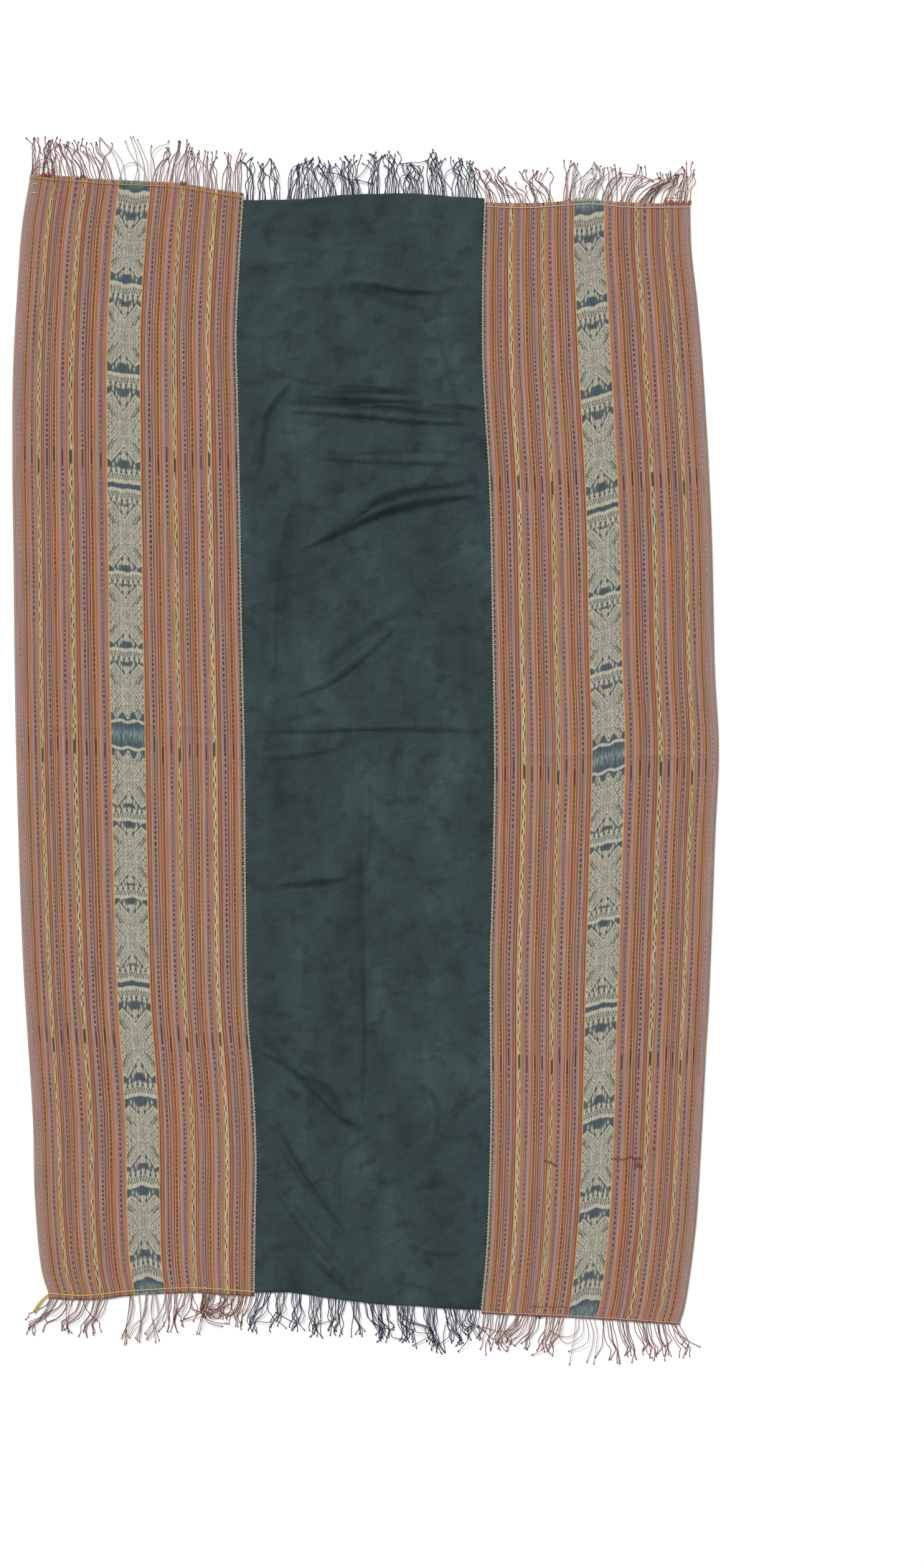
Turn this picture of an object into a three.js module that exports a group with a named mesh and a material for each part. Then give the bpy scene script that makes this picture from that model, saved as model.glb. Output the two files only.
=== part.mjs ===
// A three-panel man's cloth in warp ikat, laid flat on a table.
// Two striped side panels and a plain dark middle panel are butted together along two seams.
// Each panel ends in a heading strip whose warp ends are twisted into knotted fringe cords.
// Millimetres, +X across the cloth, +Y along the warp, +Z up. The table is the plane z = 0.

import * as THREE from "three";

// Sheet sizes: the spacing of points along its sides, its ends and its folds
const CLOTH_THICKNESS = 1.5;
const SEAM_GAP = 0.3;
const SIDE_STEP = 62;
const END_STEP = 34;
const FOLD_STEP = 42;

// The rounded shape of a fold: its shoulders' place, as a share of half its width, and their height
const SHOULDER_OUT = 0.46;
const SHOULDER_UP = 0.62;

// Fringe sizes, and where along a cord its sections lie, as shares of its length
const HEADING_DEPTH = 6;
const CORD_WIDTH = 2;
const CORD_HEIGHT = 1.8;
const KNOT_WIDTH = 3;
const KNOT_HEIGHT = 2.6;
const CORD_PITCH = 8;
const CORD_CLEARANCE = 0.6;
const FEWEST_CORDS = 2;
const SHORTEST_SHARE = 0.9;
const RIDGE_ROOT_OUT = 0.8;
const CORD_STATIONS = [0.42, 0.9];
const KNOT_STATION = 0.96;

// The loose thread tail: the spacing of its sections, and how thin its ends are beside its middle
const TAIL_STEP = 5;
const TAIL_END_SHARE = 0.55;

// Colours and finish of the cottons
const COTTON = { metalness: 0, roughness: 0.92 };
const STRIPED_COLOUR = 0x9b6a58;
const INDIGO_COLOUR = 0x36474a;
const STRIPED_CORD_COLOUR = 0x7d5650;
const INDIGO_CORD_COLOUR = 0x2f363f;
const YELLOW_COLOUR = 0xc9a648;

// The four long lines of the cloth, from its lower end to its upper one, as points (x, y)
const LONG_LINES = {
  leftSelvedge: [
    [-509, -877], [-520, -840], [-531, -720], [-534, -600], [-549, -360], [-558, -120],
    [-563, 100], [-565, 300], [-567, 450], [-566, 600], [-560, 720], [-551, 840], [-539, 914],
  ],
  leftSeam: [
    [-178, -874], [-177, -780], [-175, -660], [-180, -540], [-189, -420], [-192, -240],
    [-194, 0], [-198, 180], [-202, 420], [-205, 570], [-207, 660], [-202, 780], [-196, 882],
  ],
  rightSeam: [
    [186, -900], [192, -840], [196, -780], [201, -600], [200, -360], [204, -210], [207, -40],
    [204, 180], [199, 420], [192, 540], [188, 620], [188, 760], [191, 874],
  ],
  rightSelvedge: [
    [505, -922], [512, -900], [529, -780], [534, -720], [547, -480], [552, -390], [561, -150],
    [567, 0], [561, 120], [555, 360], [542, 600], [532, 720], [523, 800], [521, 867],
  ],
};

// The end lines between them, where the panel stops and its heading begins, from left to right
const END_LINES = {
  topLeft: [[-539, 914], [-407, 904], [-307, 899], [-196, 882]],
  topCentre: [[-196, 873], [-120, 873], [-37, 880], [60, 883], [191, 875]],
  topRight: [[191, 868], [260, 866], [365, 872], [420, 867], [521, 867]],
  bottomLeft: [[-509, -877], [-450, -880], [-380, -873], [-280, -868], [-178, -874]],
  bottomCentre: [[-178, -869], [-120, -870], [-7, -885], [90, -892], [186, -898]],
  bottomRight: [[186, -906], [290, -911], [400, -917], [505, -924]],
};

// Soft folds, as crest points (x, y) from end to end, the width of the fold and its height
const FOLDS = {
  leftPanel: [
    { crest: [[-545, 32], [-480, 34], [-400, 30]], width: 18, height: 1.6 },
    { crest: [[-330, 36], [-270, 32], [-215, 30]], width: 18, height: 1.8 },
    { crest: [[-538, 600], [-530, 740], [-508, 866]], width: 30, height: 3 },
    { crest: [[-498, -300], [-492, -560], [-478, -820]], width: 40, height: 2.4 },
    { crest: [[-232, -440], [-222, -560], [-216, -700]], width: 30, height: 2.4 },
    { crest: [[-372, -700], [-366, -780], [-352, -850]], width: 34, height: 2.2 },
    { crest: [[-240, 780], [-233, 700], [-238, 600]], width: 26, height: 2.2 },
  ],
  centrePanel: [
    { crest: [[-150, 804], [-60, 800], [40, 794], [150, 784]], width: 24, height: 3 },
    { crest: [[-100, 566], [0, 563], [90, 556]], width: 24, height: 5.5 },
    { crest: [[-128, 542], [-20, 536], [80, 527], [172, 520]], width: 24, height: 5 },
    { crest: [[-118, 590], [-160, 540], [-172, 440]], width: 26, height: 3.4 },
    { crest: [[-90, 466], [20, 462], [90, 458], [165, 456]], width: 20, height: 2.6 },
    { crest: [[186, 408], [120, 400], [30, 382], [-40, 350], [-104, 318]], width: 30, height: 6 },
    { crest: [[-118, 400], [-142, 320], [-152, 190], [-146, 120]], width: 34, height: 4 },
    { crest: [[-126, 80], [-60, 108], [20, 172], [56, 204]], width: 30, height: 3.6 },
    { crest: [[-178, 26], [-90, 28], [10, 33], [110, 30], [190, 26]], width: 18, height: 3.2 },
    { crest: [[-184, -14], [-110, -12], [-40, 2]], width: 20, height: 2.4 },
    { crest: [[4, -60], [2, -140], [0, -196]], width: 20, height: 2.4 },
    { crest: [[-140, -218], [-80, -213], [-24, -207]], width: 24, height: 3.8 },
    { crest: [[-6, -250], [-8, -370], [-6, -480], [-10, -590]], width: 18, height: 3 },
    { crest: [[-172, -484], [-128, -504], [-72, -554], [-28, -604]], width: 28, height: 5 },
    { crest: [[-158, -578], [-126, -646], [-88, -700], [-36, -772]], width: 26, height: 3.6 },
    { crest: [[-150, -700], [-112, -748], [-60, -814], [-16, -868]], width: 28, height: 4 },
    { crest: [[84, -520], [110, -590], [100, -650]], width: 26, height: 2.8 },
    { crest: [[60, -794], [110, -806], [150, -812]], width: 24, height: 2.4 },
  ],
  rightPanel: [
    { crest: [[222, -10], [300, -12], [380, -11]], width: 18, height: 1.6 },
    { crest: [[420, -13], [480, -12], [545, -14]], width: 18, height: 1.8 },
    { crest: [[476, 830], [490, 740], [506, 660]], width: 30, height: 3 },
    { crest: [[226, 520], [214, 600], [212, 690]], width: 26, height: 2.4 },
    { crest: [[436, 600], [448, 500], [458, 380]], width: 36, height: 2.4 },
    { crest: [[528, -300], [522, -460], [508, -620]], width: 38, height: 2.6 },
    { crest: [[264, -640], [258, -740], [244, -850]], width: 34, height: 2.2 },
  ],
};

// Locks of fringe cords: the x of their first and last root, the x of their tips, and how far they reach
const LOCKS = {
  topLeft: [
    { from: -537, to: -516, tips: -524, reach: 74 },
    { from: -510, to: -488, tips: -508, reach: 66 },
    { from: -480, to: -462, tips: -489, reach: 68 },
    { from: -456, to: -442, tips: -468, reach: 66 },
    { from: -436, to: -422, tips: -450, reach: 71 },
    { from: -416, to: -404, tips: -432, reach: 71 },
    { from: -394, to: -350, tips: -370, reach: 74 },
    { from: -342, to: -326, tips: -318, reach: 66 },
    { from: -319, to: -296, tips: -294, reach: 78 },
    { from: -289, to: -268, tips: -276, reach: 70 },
    { from: -260, to: -238, tips: -252, reach: 68 },
    { from: -230, to: -200, tips: -210, reach: 78 },
  ],
  topCentre: [
    { from: -193, to: -180, tips: -184, reach: 74 },
    { from: -172, to: -160, tips: -168, reach: 72 },
    { from: -152, to: -138, tips: -152, reach: 73 },
    { from: -127, to: -104, tips: -106, reach: 68 },
    { from: -98, to: -76, tips: -88, reach: 72 },
    { from: -69, to: -46, tips: -66, reach: 62 },
    { from: -39, to: -6, tips: -30, reach: 70 },
    { from: 4, to: 22, tips: 18, reach: 74 },
    { from: 30, to: 52, tips: 44, reach: 74 },
    { from: 60, to: 92, tips: 78, reach: 52 },
    { from: 102, to: 128, tips: 108, reach: 76 },
    { from: 140, to: 186, tips: 158, reach: 70 },
  ],
  topRight: [
    { from: 194, to: 212, tips: 186, reach: 64 },
    { from: 219, to: 234, tips: 206, reach: 66 },
    { from: 243, to: 256, tips: 226, reach: 54 },
    { from: 266, to: 280, tips: 250, reach: 64 },
    { from: 288, to: 302, tips: 270, reach: 62 },
    { from: 317, to: 336, tips: 330, reach: 72 },
    { from: 346, to: 368, tips: 376, reach: 62 },
    { from: 378, to: 396, tips: 408, reach: 62 },
    { from: 404, to: 424, tips: 440, reach: 70 },
    { from: 433, to: 462, tips: 484, reach: 58 },
    { from: 474, to: 490, tips: 500, reach: 52 },
    { from: 498, to: 518, tips: 519, reach: 72 },
  ],
  bottomLeft: [
    { from: -506, to: -492, tips: -536, reach: 62 },
    { from: -484, to: -468, tips: -514, reach: 66 },
    { from: -460, to: -444, tips: -482, reach: 62 },
    { from: -436, to: -414, tips: -446, reach: 68 },
    { from: -382, to: -372, tips: -394, reach: 74 },
    { from: -364, to: -328, tips: -354, reach: 72 },
    { from: -320, to: -302, tips: -316, reach: 75 },
    { from: -294, to: -276, tips: -300, reach: 62 },
    { from: -263, to: -242, tips: -263, reach: 52 },
    { from: -234, to: -212, tips: -226, reach: 46 },
    { from: -204, to: -182, tips: -206, reach: 60 },
  ],
  bottomCentre: [
    { from: -174, to: -150, tips: -182, reach: 70 },
    { from: -140, to: -126, tips: -142, reach: 62 },
    { from: -118, to: -102, tips: -112, reach: 70 },
    { from: -90, to: -68, tips: -82, reach: 74 },
    { from: -60, to: -32, tips: -50, reach: 66 },
    { from: -23, to: -10, tips: -12, reach: 66 },
    { from: -2, to: 36, tips: 30, reach: 66 },
    { from: 50, to: 80, tips: 66, reach: 66 },
    { from: 92, to: 114, tips: 108, reach: 74 },
    { from: 124, to: 150, tips: 148, reach: 68 },
    { from: 160, to: 182, tips: 174, reach: 54 },
  ],
  bottomRight: [
    { from: 190, to: 204, tips: 190, reach: 70 },
    { from: 212, to: 230, tips: 208, reach: 62 },
    { from: 242, to: 262, tips: 226, reach: 56 },
    { from: 268, to: 280, tips: 258, reach: 58 },
    { from: 290, to: 318, tips: 290, reach: 62 },
    { from: 326, to: 372, tips: 342, reach: 68 },
    { from: 380, to: 396, tips: 402, reach: 76 },
    { from: 404, to: 422, tips: 426, reach: 68 },
    { from: 432, to: 456, tips: 458, reach: 62 },
    { from: 463, to: 480, tips: 484, reach: 62 },
    { from: 486, to: 502, tips: 516, reach: 58 },
  ],
};

// A smooth curve through hand-placed points, as evenly spaced points about a step apart
function smoothLine(points, step) {
  const curve = new THREE.CatmullRomCurve3(
    points.map(([x, y]) => new THREE.Vector3(x, y, 0)),
    false,
    "centripetal",
  );
  const count = Math.max(2, Math.round(curve.getLength() / step));
  return curve.getSpacedPoints(count).map((p) => new THREE.Vector2(p.x, p.y));
}

// A line moved sideways by a distance, to its left as it runs
function offsetLine(line, distance) {
  return line.map((point, i) => {
    const before = line[Math.max(i - 1, 0)];
    const after = line[Math.min(i + 1, line.length - 1)];
    const along = after.clone().sub(before).normalize();
    return new THREE.Vector2(point.x - along.y * distance, point.y + along.x * distance);
  });
}

// The points of a long line that lie well inside the corners it runs between
function between(line, low, high) {
  const margin = SIDE_STEP / 3;
  return line.filter((point) => point.y > low.y + margin && point.y < high.y - margin);
}

// Triangles are gathered as point triples and become one closed geometry
function makeSurface() {
  const positions = [];
  return {
    face(a, b, c) {
      positions.push(a[0], a[1], a[2], b[0], b[1], b[2], c[0], c[1], c[2]);
    },
    quad(a, b, c, d) {
      this.face(a, b, c);
      this.face(a, c, d);
    },
    geometry() {
      const made = new THREE.BufferGeometry();
      made.setAttribute("position", new THREE.Float32BufferAttribute(positions, 3));
      made.computeVertexNormals();
      return made;
    },
  };
}

// One soft fold: a leaf-shaped place in the sheet, pointed at both ends, that rises to a rounded crest.
// Rows run across it as foot, shoulder, crest, shoulder, foot.
function foldRows({ crest, width, height }) {
  const line = smoothLine(crest, FOLD_STEP);
  const last = line.length - 1;
  return line.map((point, i) => {
    if (i === 0 || i === last) return [[point.x, point.y, 0]];
    const swell = Math.sqrt(Math.sin((Math.PI * i) / last));
    const half = (width / 2) * swell;
    const across = [1, SHOULDER_OUT, 0, -SHOULDER_OUT, -1];
    const lift = [0, SHOULDER_UP, 1, SHOULDER_UP, 0];
    const along = line[i + 1].clone().sub(line[i - 1]).normalize();
    return across.map((side, k) => [
      point.x - along.y * half * side,
      point.y + along.x * half * side,
      height * swell * lift[k],
    ]);
  });
}

// The outline of a fold, anticlockwise, as the feet on its right side and then those on its left
function foldOutline(rows) {
  const inner = rows.slice(1, -1);
  const right = inner.map((row) => row[4]);
  const left = inner.map((row) => row[0]).reverse();
  return [rows[0][0], ...right, rows[rows.length - 1][0], ...left].map(
    ([x, y]) => new THREE.Vector2(x, y),
  );
}

// The faces of a fold, seen from above, between one row of points and the next
function foldFaces(rows) {
  const faces = [];
  for (let i = 0; i + 1 < rows.length; i++) {
    const [a, b] = [rows[i], rows[i + 1]];
    const strips = Math.max(a.length, b.length) - 1;
    for (let k = 0; k < strips; k++) {
      if (a.length === 1) faces.push([a[0], b[k + 1], b[k]]);
      else if (b.length === 1) faces.push([a[k], a[k + 1], b[0]]);
      else faces.push([a[k], a[k + 1], b[k + 1]], [a[k], b[k + 1], b[k]]);
    }
  }
  return faces;
}

// A sheet of even thickness over an outline, with folds: the flat of it is filled round the folds
function sheetGeometry(outline, folds) {
  const rows = folds.map(foldRows);
  const holes = rows.map(foldOutline);
  const flatPoints = [outline, ...holes].flat();
  const flat = THREE.ShapeUtils.triangulateShape(outline, holes).map((corners) =>
    corners.map((i) => [flatPoints[i].x, flatPoints[i].y, 0]),
  );
  const underside = [...flat, ...rows.flatMap(foldFaces)];
  const raised = ([x, y, z]) => [x, y, z + CLOTH_THICKNESS];
  const surface = makeSurface();
  for (const corners of underside) {
    const [a, b, c] = facingUp(corners);
    surface.face(raised(a), raised(b), raised(c));
    surface.face(a, c, b);
  }
  outline.forEach((point, i) => {
    const next = outline[(i + 1) % outline.length];
    const [a, b] = [[point.x, point.y, 0], [next.x, next.y, 0]];
    surface.quad(a, b, raised(b), raised(a));
  });
  return surface.geometry();
}

// A triangle's corners in the order that faces up
function facingUp([a, b, c]) {
  const turn = (b[0] - a[0]) * (c[1] - a[1]) - (b[1] - a[1]) * (c[0] - a[0]);
  return turn < 0 ? [a, c, b] : [a, b, c];
}

// A panel between two long lines and two end lines. Each joined side stands back by half the seam gap.
function panelGeometry({ left, right, bottom, top, leftIn, rightIn, folds }) {
  const lower = smoothLine(bottom, END_STEP);
  const upper = smoothLine(top, END_STEP);
  const rightSide = offsetLine(smoothLine(right, SIDE_STEP), rightIn);
  const leftSide = offsetLine(smoothLine(left, SIDE_STEP), -leftIn);
  const shiftEnds = (line) =>
    line.map((p, i) => {
      const move = i === 0 ? leftIn : i === line.length - 1 ? -rightIn : 0;
      return new THREE.Vector2(p.x + move, p.y);
    });
  const [low, high] = [shiftEnds(lower), shiftEnds(upper)];
  const outline = [
    ...low,
    ...between(rightSide, low[low.length - 1], high[high.length - 1]),
    ...[...high].reverse(),
    ...between(leftSide, low[0], high[0]).reverse(),
  ];
  return sheetGeometry(outline, folds);
}

// The cords of a lock: roots spread evenly, tips drawn together as close as their knots allow, and
// lengths that differ a little in an order that repeats every five cords
function cordsOf({ from, to, tips, reach }, order) {
  const count = Math.max(FEWEST_CORDS, Math.round((to - from) / CORD_PITCH) + 1);
  const tipPitch = KNOT_WIDTH + CORD_CLEARANCE;
  return Array.from({ length: count }, (_, i) => {
    const share = i / (count - 1);
    const middle = i - (count - 1) / 2;
    const trim = ((i * 7 + order * 3) % 5) / 4;
    return {
      root: from + (to - from) * share,
      tip: tips + middle * tipPitch,
      reach: reach * (1 - (1 - SHORTEST_SHARE) * trim),
    };
  });
}

// Where a cord lies at a share of its length: it leaves its root square and swings over to its tip
function cordPoint({ root, tip, reach }, share) {
  const swing = share * share * (3 - 2 * share) * 0.5 + share * 0.5;
  return { x: root + (tip - root) * swing, out: reach * share };
}

// Triangles between two chains of points that both run left to right, using every point of both
function ladder(lower, upper, face) {
  let [i, j] = [0, 0];
  while (i + 1 < lower.length || j + 1 < upper.length) {
    const lowerX = i + 1 < lower.length ? lower[i + 1][0] : Infinity;
    const upperX = j + 1 < upper.length ? upper[j + 1][0] : Infinity;
    if (lowerX <= upperX) {
      face(lower[i], lower[i + 1], upper[j]);
      i++;
    } else {
      face(lower[i], upper[j + 1], upper[j]);
      j++;
    }
  }
}

// A heading strip along an end line, with the cords standing out of its far wall as three-sided tapers
// that rest on the table. "side" is 1 at the upper end and -1 at the lower one.
function fringeGeometry({ end, locks, side, leftIn, rightIn }) {
  const surface = makeSurface();
  const cords = locks.flatMap(cordsOf);
  const edge = endHeight(end);
  const firstX = end[0][0] + leftIn;
  const lastX = end[end.length - 1][0] - rightIn;
  const innerXs = smoothLine(end, END_STEP).slice(1, -1).map((point) => point.x);
  const near = (x, z) => [x, edge(x) + side * SEAM_GAP, z];
  const far = (x, z, out = 0) => [x, edge(x) + side * (HEADING_DEPTH + out), z];
  const face = (a, b, c) => (side > 0 ? surface.face(a, b, c) : surface.face(a, c, b));
  const quad = (a, b, c, d) => {
    face(a, b, c);
    face(a, c, d);
  };
  const [floor, top] = [0, CLOTH_THICKNESS];
  const half = CORD_WIDTH / 2;
  const nearXs = [firstX, ...innerXs, lastX];
  const feet = cords.map(({ root }) => [far(root - half, floor), far(root + half, floor)]);
  const ridges = cords.map(({ root }) => far(root, top, RIDGE_ROOT_OUT));
  const lifted = ([x, y]) => [x, y, top];
  const farFloor = [far(firstX, floor), ...feet.flat(), far(lastX, floor)];
  const farTop = [
    far(firstX, top),
    ...feet.flatMap(([a, b], i) => [lifted(a), ridges[i], lifted(b)]),
    far(lastX, top),
  ];
  const nearFloor = nearXs.map((x) => near(x, floor));
  const nearTop = nearXs.map((x) => near(x, top));
  ladder(nearFloor, farFloor, (a, b, c) => face(a, c, b));
  ladder(nearTop, farTop, face);
  for (let i = 0; i + 1 < nearXs.length; i++) {
    quad(nearFloor[i], nearFloor[i + 1], nearTop[i + 1], nearTop[i]);
  }
  for (let i = 0; i < farFloor.length; i += 2) {
    const [a, b] = [farFloor[i], farFloor[i + 1]];
    quad(a, lifted(a), lifted(b), b);
  }
  quad(nearFloor[0], nearTop[0], farTop[0], farFloor[0]);
  quad(nearFloor.at(-1), farFloor.at(-1), farTop.at(-1), nearTop.at(-1));
  cords.forEach((cord, i) => {
    const [a, b] = feet[i];
    face(a, lifted(a), ridges[i]);
    face(b, ridges[i], lifted(b));
    addCord({ face, quad, cord, root: [a, b, ridges[i]], side, far });
  });
  return surface.geometry();
}

// A cord from its root triangle (left foot, right foot, ridge) through its stations to its knot and point
function addCord({ face, quad, cord, root, side, far }) {
  const base = far(cord.root, 0)[1];
  const section = (share, width, height) => {
    const here = cordPoint(cord, share);
    const ahead = cordPoint(cord, share + 0.02);
    const behind = cordPoint(cord, share - 0.02);
    const along = new THREE.Vector2(ahead.x - behind.x, ahead.out - behind.out).normalize();
    const foot = (sign) => [
      here.x + (sign * along.y * width) / 2,
      base + side * (here.out - (sign * along.x * width) / 2),
      0,
    ];
    return [foot(-1), foot(1), [here.x, base + side * here.out, height]];
  };
  const sections = [
    root,
    ...CORD_STATIONS.map((share) => section(share, CORD_WIDTH, CORD_HEIGHT)),
    section(KNOT_STATION, KNOT_WIDTH, KNOT_HEIGHT),
  ];
  for (let i = 0; i + 1 < sections.length; i++) {
    const [a, b, c] = sections[i];
    const [p, q, r] = sections[i + 1];
    quad(a, p, q, b);
    quad(a, c, r, p);
    quad(b, q, r, c);
  }
  const [a, b, c] = sections[sections.length - 1];
  const end = cordPoint(cord, 1);
  const tip = [end.x, base + side * end.out, 0];
  face(a, tip, b);
  face(a, c, tip);
  face(b, tip, c);
}

// The height y of an end line at any x, straight between its smoothed points
function endHeight(end) {
  const line = smoothLine(end, END_STEP);
  return (x) => {
    let i = 0;
    while (i + 2 < line.length && line[i + 1].x < x) i++;
    const share = (x - line[i].x) / (line[i + 1].x - line[i].x);
    return line[i].y + (line[i + 1].y - line[i].y) * share;
  };
}

// A loose tail of thread: a flat-bottomed bundle along a line, swelling and then tapering to its cut end
function tailGeometry({ line, width, height }) {
  const points = smoothLine(line, TAIL_STEP);
  const last = points.length - 1;
  const sections = points.map((point, i) => {
    const before = points[Math.max(i - 1, 0)];
    const after = points[Math.min(i + 1, last)];
    const along = after.clone().sub(before).normalize();
    const swell = TAIL_END_SHARE + (1 - TAIL_END_SHARE) * Math.sin((Math.PI * i) / last);
    const foot = (sign) => [
      point.x - (sign * along.y * width * swell) / 2,
      point.y + (sign * along.x * width * swell) / 2,
      0,
    ];
    return [foot(1), foot(-1), [point.x, point.y, height * swell]];
  });
  const surface = makeSurface();
  for (let i = 0; i < last; i++) {
    const [a, b, c] = sections[i];
    const [p, q, r] = sections[i + 1];
    surface.quad(a, p, q, b);
    surface.quad(a, c, r, p);
    surface.quad(b, q, r, c);
  }
  surface.face(...sections[0]);
  const [a, b, c] = sections[last];
  surface.face(a, c, b);
  return surface.geometry();
}

function cotton(colour) {
  return new THREE.MeshStandardMaterial({ color: colour, ...COTTON });
}

function named(name, geometry, colour) {
  const mesh = new THREE.Mesh(geometry, cotton(colour));
  mesh.name = name;
  return mesh;
}

const HALF_GAP = SEAM_GAP / 2;
const PANELS = [
  {
    name: "left",
    colour: STRIPED_COLOUR,
    cordColour: STRIPED_CORD_COLOUR,
    left: LONG_LINES.leftSelvedge,
    right: LONG_LINES.leftSeam,
    bottom: END_LINES.bottomLeft,
    top: END_LINES.topLeft,
    leftIn: 0,
    rightIn: HALF_GAP,
    folds: FOLDS.leftPanel,
    lowerLocks: LOCKS.bottomLeft,
    upperLocks: LOCKS.topLeft,
  },
  {
    name: "centre",
    colour: INDIGO_COLOUR,
    cordColour: INDIGO_CORD_COLOUR,
    left: LONG_LINES.leftSeam,
    right: LONG_LINES.rightSeam,
    bottom: END_LINES.bottomCentre,
    top: END_LINES.topCentre,
    leftIn: HALF_GAP,
    rightIn: HALF_GAP,
    folds: FOLDS.centrePanel,
    lowerLocks: LOCKS.bottomCentre,
    upperLocks: LOCKS.topCentre,
  },
  {
    name: "right",
    colour: STRIPED_COLOUR,
    cordColour: STRIPED_CORD_COLOUR,
    left: LONG_LINES.rightSeam,
    right: LONG_LINES.rightSelvedge,
    bottom: END_LINES.bottomRight,
    top: END_LINES.topRight,
    leftIn: HALF_GAP,
    rightIn: 0,
    folds: FOLDS.rightPanel,
    lowerLocks: LOCKS.bottomRight,
    upperLocks: LOCKS.topRight,
  },
];

// The end of the yellow edge thread, left hanging free at the lower left corner
const TAILS = [
  {
    name: "yellow_thread_tail",
    colour: YELLOW_COLOUR,
    line: [[-510, -879], [-518, -886], [-525, -896], [-531, -907]],
    width: 5,
    height: 2.4,
  },
];

const cloth = new THREE.Group();
for (const panel of PANELS) {
  cloth.add(named(`${panel.name}_panel`, panelGeometry(panel), panel.colour));
  const { leftIn, rightIn } = panel;
  const ends = [
    { place: "top", end: panel.top, locks: panel.upperLocks, side: 1 },
    { place: "bottom", end: panel.bottom, locks: panel.lowerLocks, side: -1 },
  ];
  for (const { place, ...end } of ends) {
    const geometry = fringeGeometry({ ...end, leftIn, rightIn });
    cloth.add(named(`${panel.name}_fringe_${place}`, geometry, panel.cordColour));
  }
}
for (const { name, colour, ...shape } of TAILS) {
  cloth.add(named(name, tailGeometry(shape), colour));
}

export default cloth;
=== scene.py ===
# %% [markdown]
# A three-panel man's cloth in warp ikat lies flat on a pale table. Its frame, with the size and place of
# every panel and fringe, is loaded first and never moved. Each new piece is laid where the frame has it.

import bpy
import numpy as np
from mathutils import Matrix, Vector


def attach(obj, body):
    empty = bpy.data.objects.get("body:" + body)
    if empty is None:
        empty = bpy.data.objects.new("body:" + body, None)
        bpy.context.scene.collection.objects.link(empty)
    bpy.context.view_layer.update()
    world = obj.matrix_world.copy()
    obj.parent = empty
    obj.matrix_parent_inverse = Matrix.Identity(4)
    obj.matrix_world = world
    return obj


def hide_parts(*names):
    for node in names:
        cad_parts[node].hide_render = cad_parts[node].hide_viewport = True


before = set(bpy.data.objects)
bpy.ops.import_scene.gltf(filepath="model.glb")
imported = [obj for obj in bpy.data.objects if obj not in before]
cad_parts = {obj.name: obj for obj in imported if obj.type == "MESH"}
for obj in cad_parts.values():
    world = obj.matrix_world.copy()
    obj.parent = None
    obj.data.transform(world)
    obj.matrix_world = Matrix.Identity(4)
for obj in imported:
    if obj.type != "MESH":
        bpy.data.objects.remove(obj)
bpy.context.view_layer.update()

# %% [markdown]
# The cloth is measured in millimetres, as a weaver would, and Blender works in metres. The photograph was
# taken from straight above, so the camera hangs over the middle of the picture with a long lens. One
# pixel of the picture is one millimetre on the table.

# %% Camera over the table
MM = 0.001
PICTURE_HEIGHT = 2518
PICTURE_MIDDLE = (155, -59)
CAMERA_HEIGHT = 6000
SENSOR_HEIGHT = 36

scene = bpy.context.scene
camera_data = bpy.data.cameras.new("camera")
camera_data.sensor_fit = "VERTICAL"
camera_data.sensor_height = SENSOR_HEIGHT
camera_data.lens = SENSOR_HEIGHT * CAMERA_HEIGHT / PICTURE_HEIGHT
camera = bpy.data.objects.new("camera", camera_data)
camera.location = (PICTURE_MIDDLE[0] * MM, PICTURE_MIDDLE[1] * MM, CAMERA_HEIGHT * MM)
scene.collection.objects.link(camera)
scene.camera = camera
scene.view_settings.view_transform = "Standard"
print(f"lens {camera_data.lens:.1f} mm, {CAMERA_HEIGHT / 1000} m above the table")

# %% [markdown]
# A colour is written as the hex value that a screen shows, and one function turns it to the linear value
# that a shader needs. One more small function adds a shader node, sets it, and links what feeds it, so
# that each material below reads as a list of steps.


# %% Colours and nodes
def linear(hex_colour):
    """Linear red, green, blue and 1 of an sRGB hex colour"""
    channels = np.array([int(hex_colour[i : i + 2], 16) / 255 for i in (1, 3, 5)])
    low, high = channels / 12.92, ((channels + 0.055) / 1.055) ** 2.4
    return (*np.where(channels <= 0.04045, low, high).tolist(), 1.0)


def add(material, kind, inputs=None, **settings):
    """Add a shader node with its settings. Each input is a value, or a node or socket that feeds it."""
    tree = material.node_tree
    node = tree.nodes.new("ShaderNode" + kind)
    for name, value in settings.items():
        setattr(node, name, value)
    open_inputs = [socket for socket in node.inputs if socket.enabled]
    for key, value in (inputs or {}).items():
        by_name = [socket for socket in open_inputs if socket.name == key]
        socket = open_inputs[key] if isinstance(key, int) else by_name[0]
        if isinstance(value, bpy.types.Node):
            value = next(output for output in value.outputs if output.enabled)
        if isinstance(value, bpy.types.NodeSocket):
            tree.links.new(value, socket)
        else:
            socket.default_value = value
    return node


def new_material(name):
    """An empty material with nodes"""
    material = bpy.data.materials.new(name)
    material.use_nodes = True
    material.node_tree.nodes.clear()
    return material


# %% [markdown]
# The picture has a white ground, even light from all round and only faint shade at the creases. A white
# sky gives the even light. A far lamp with a wide soft face stands to the upper left, as low as a window,
# and gives the creases their shade. Together they show a flat colour just as its hex value says. The table
# glows a little by itself, like a light box, so that it stays white up to the cloth's edge.

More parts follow.
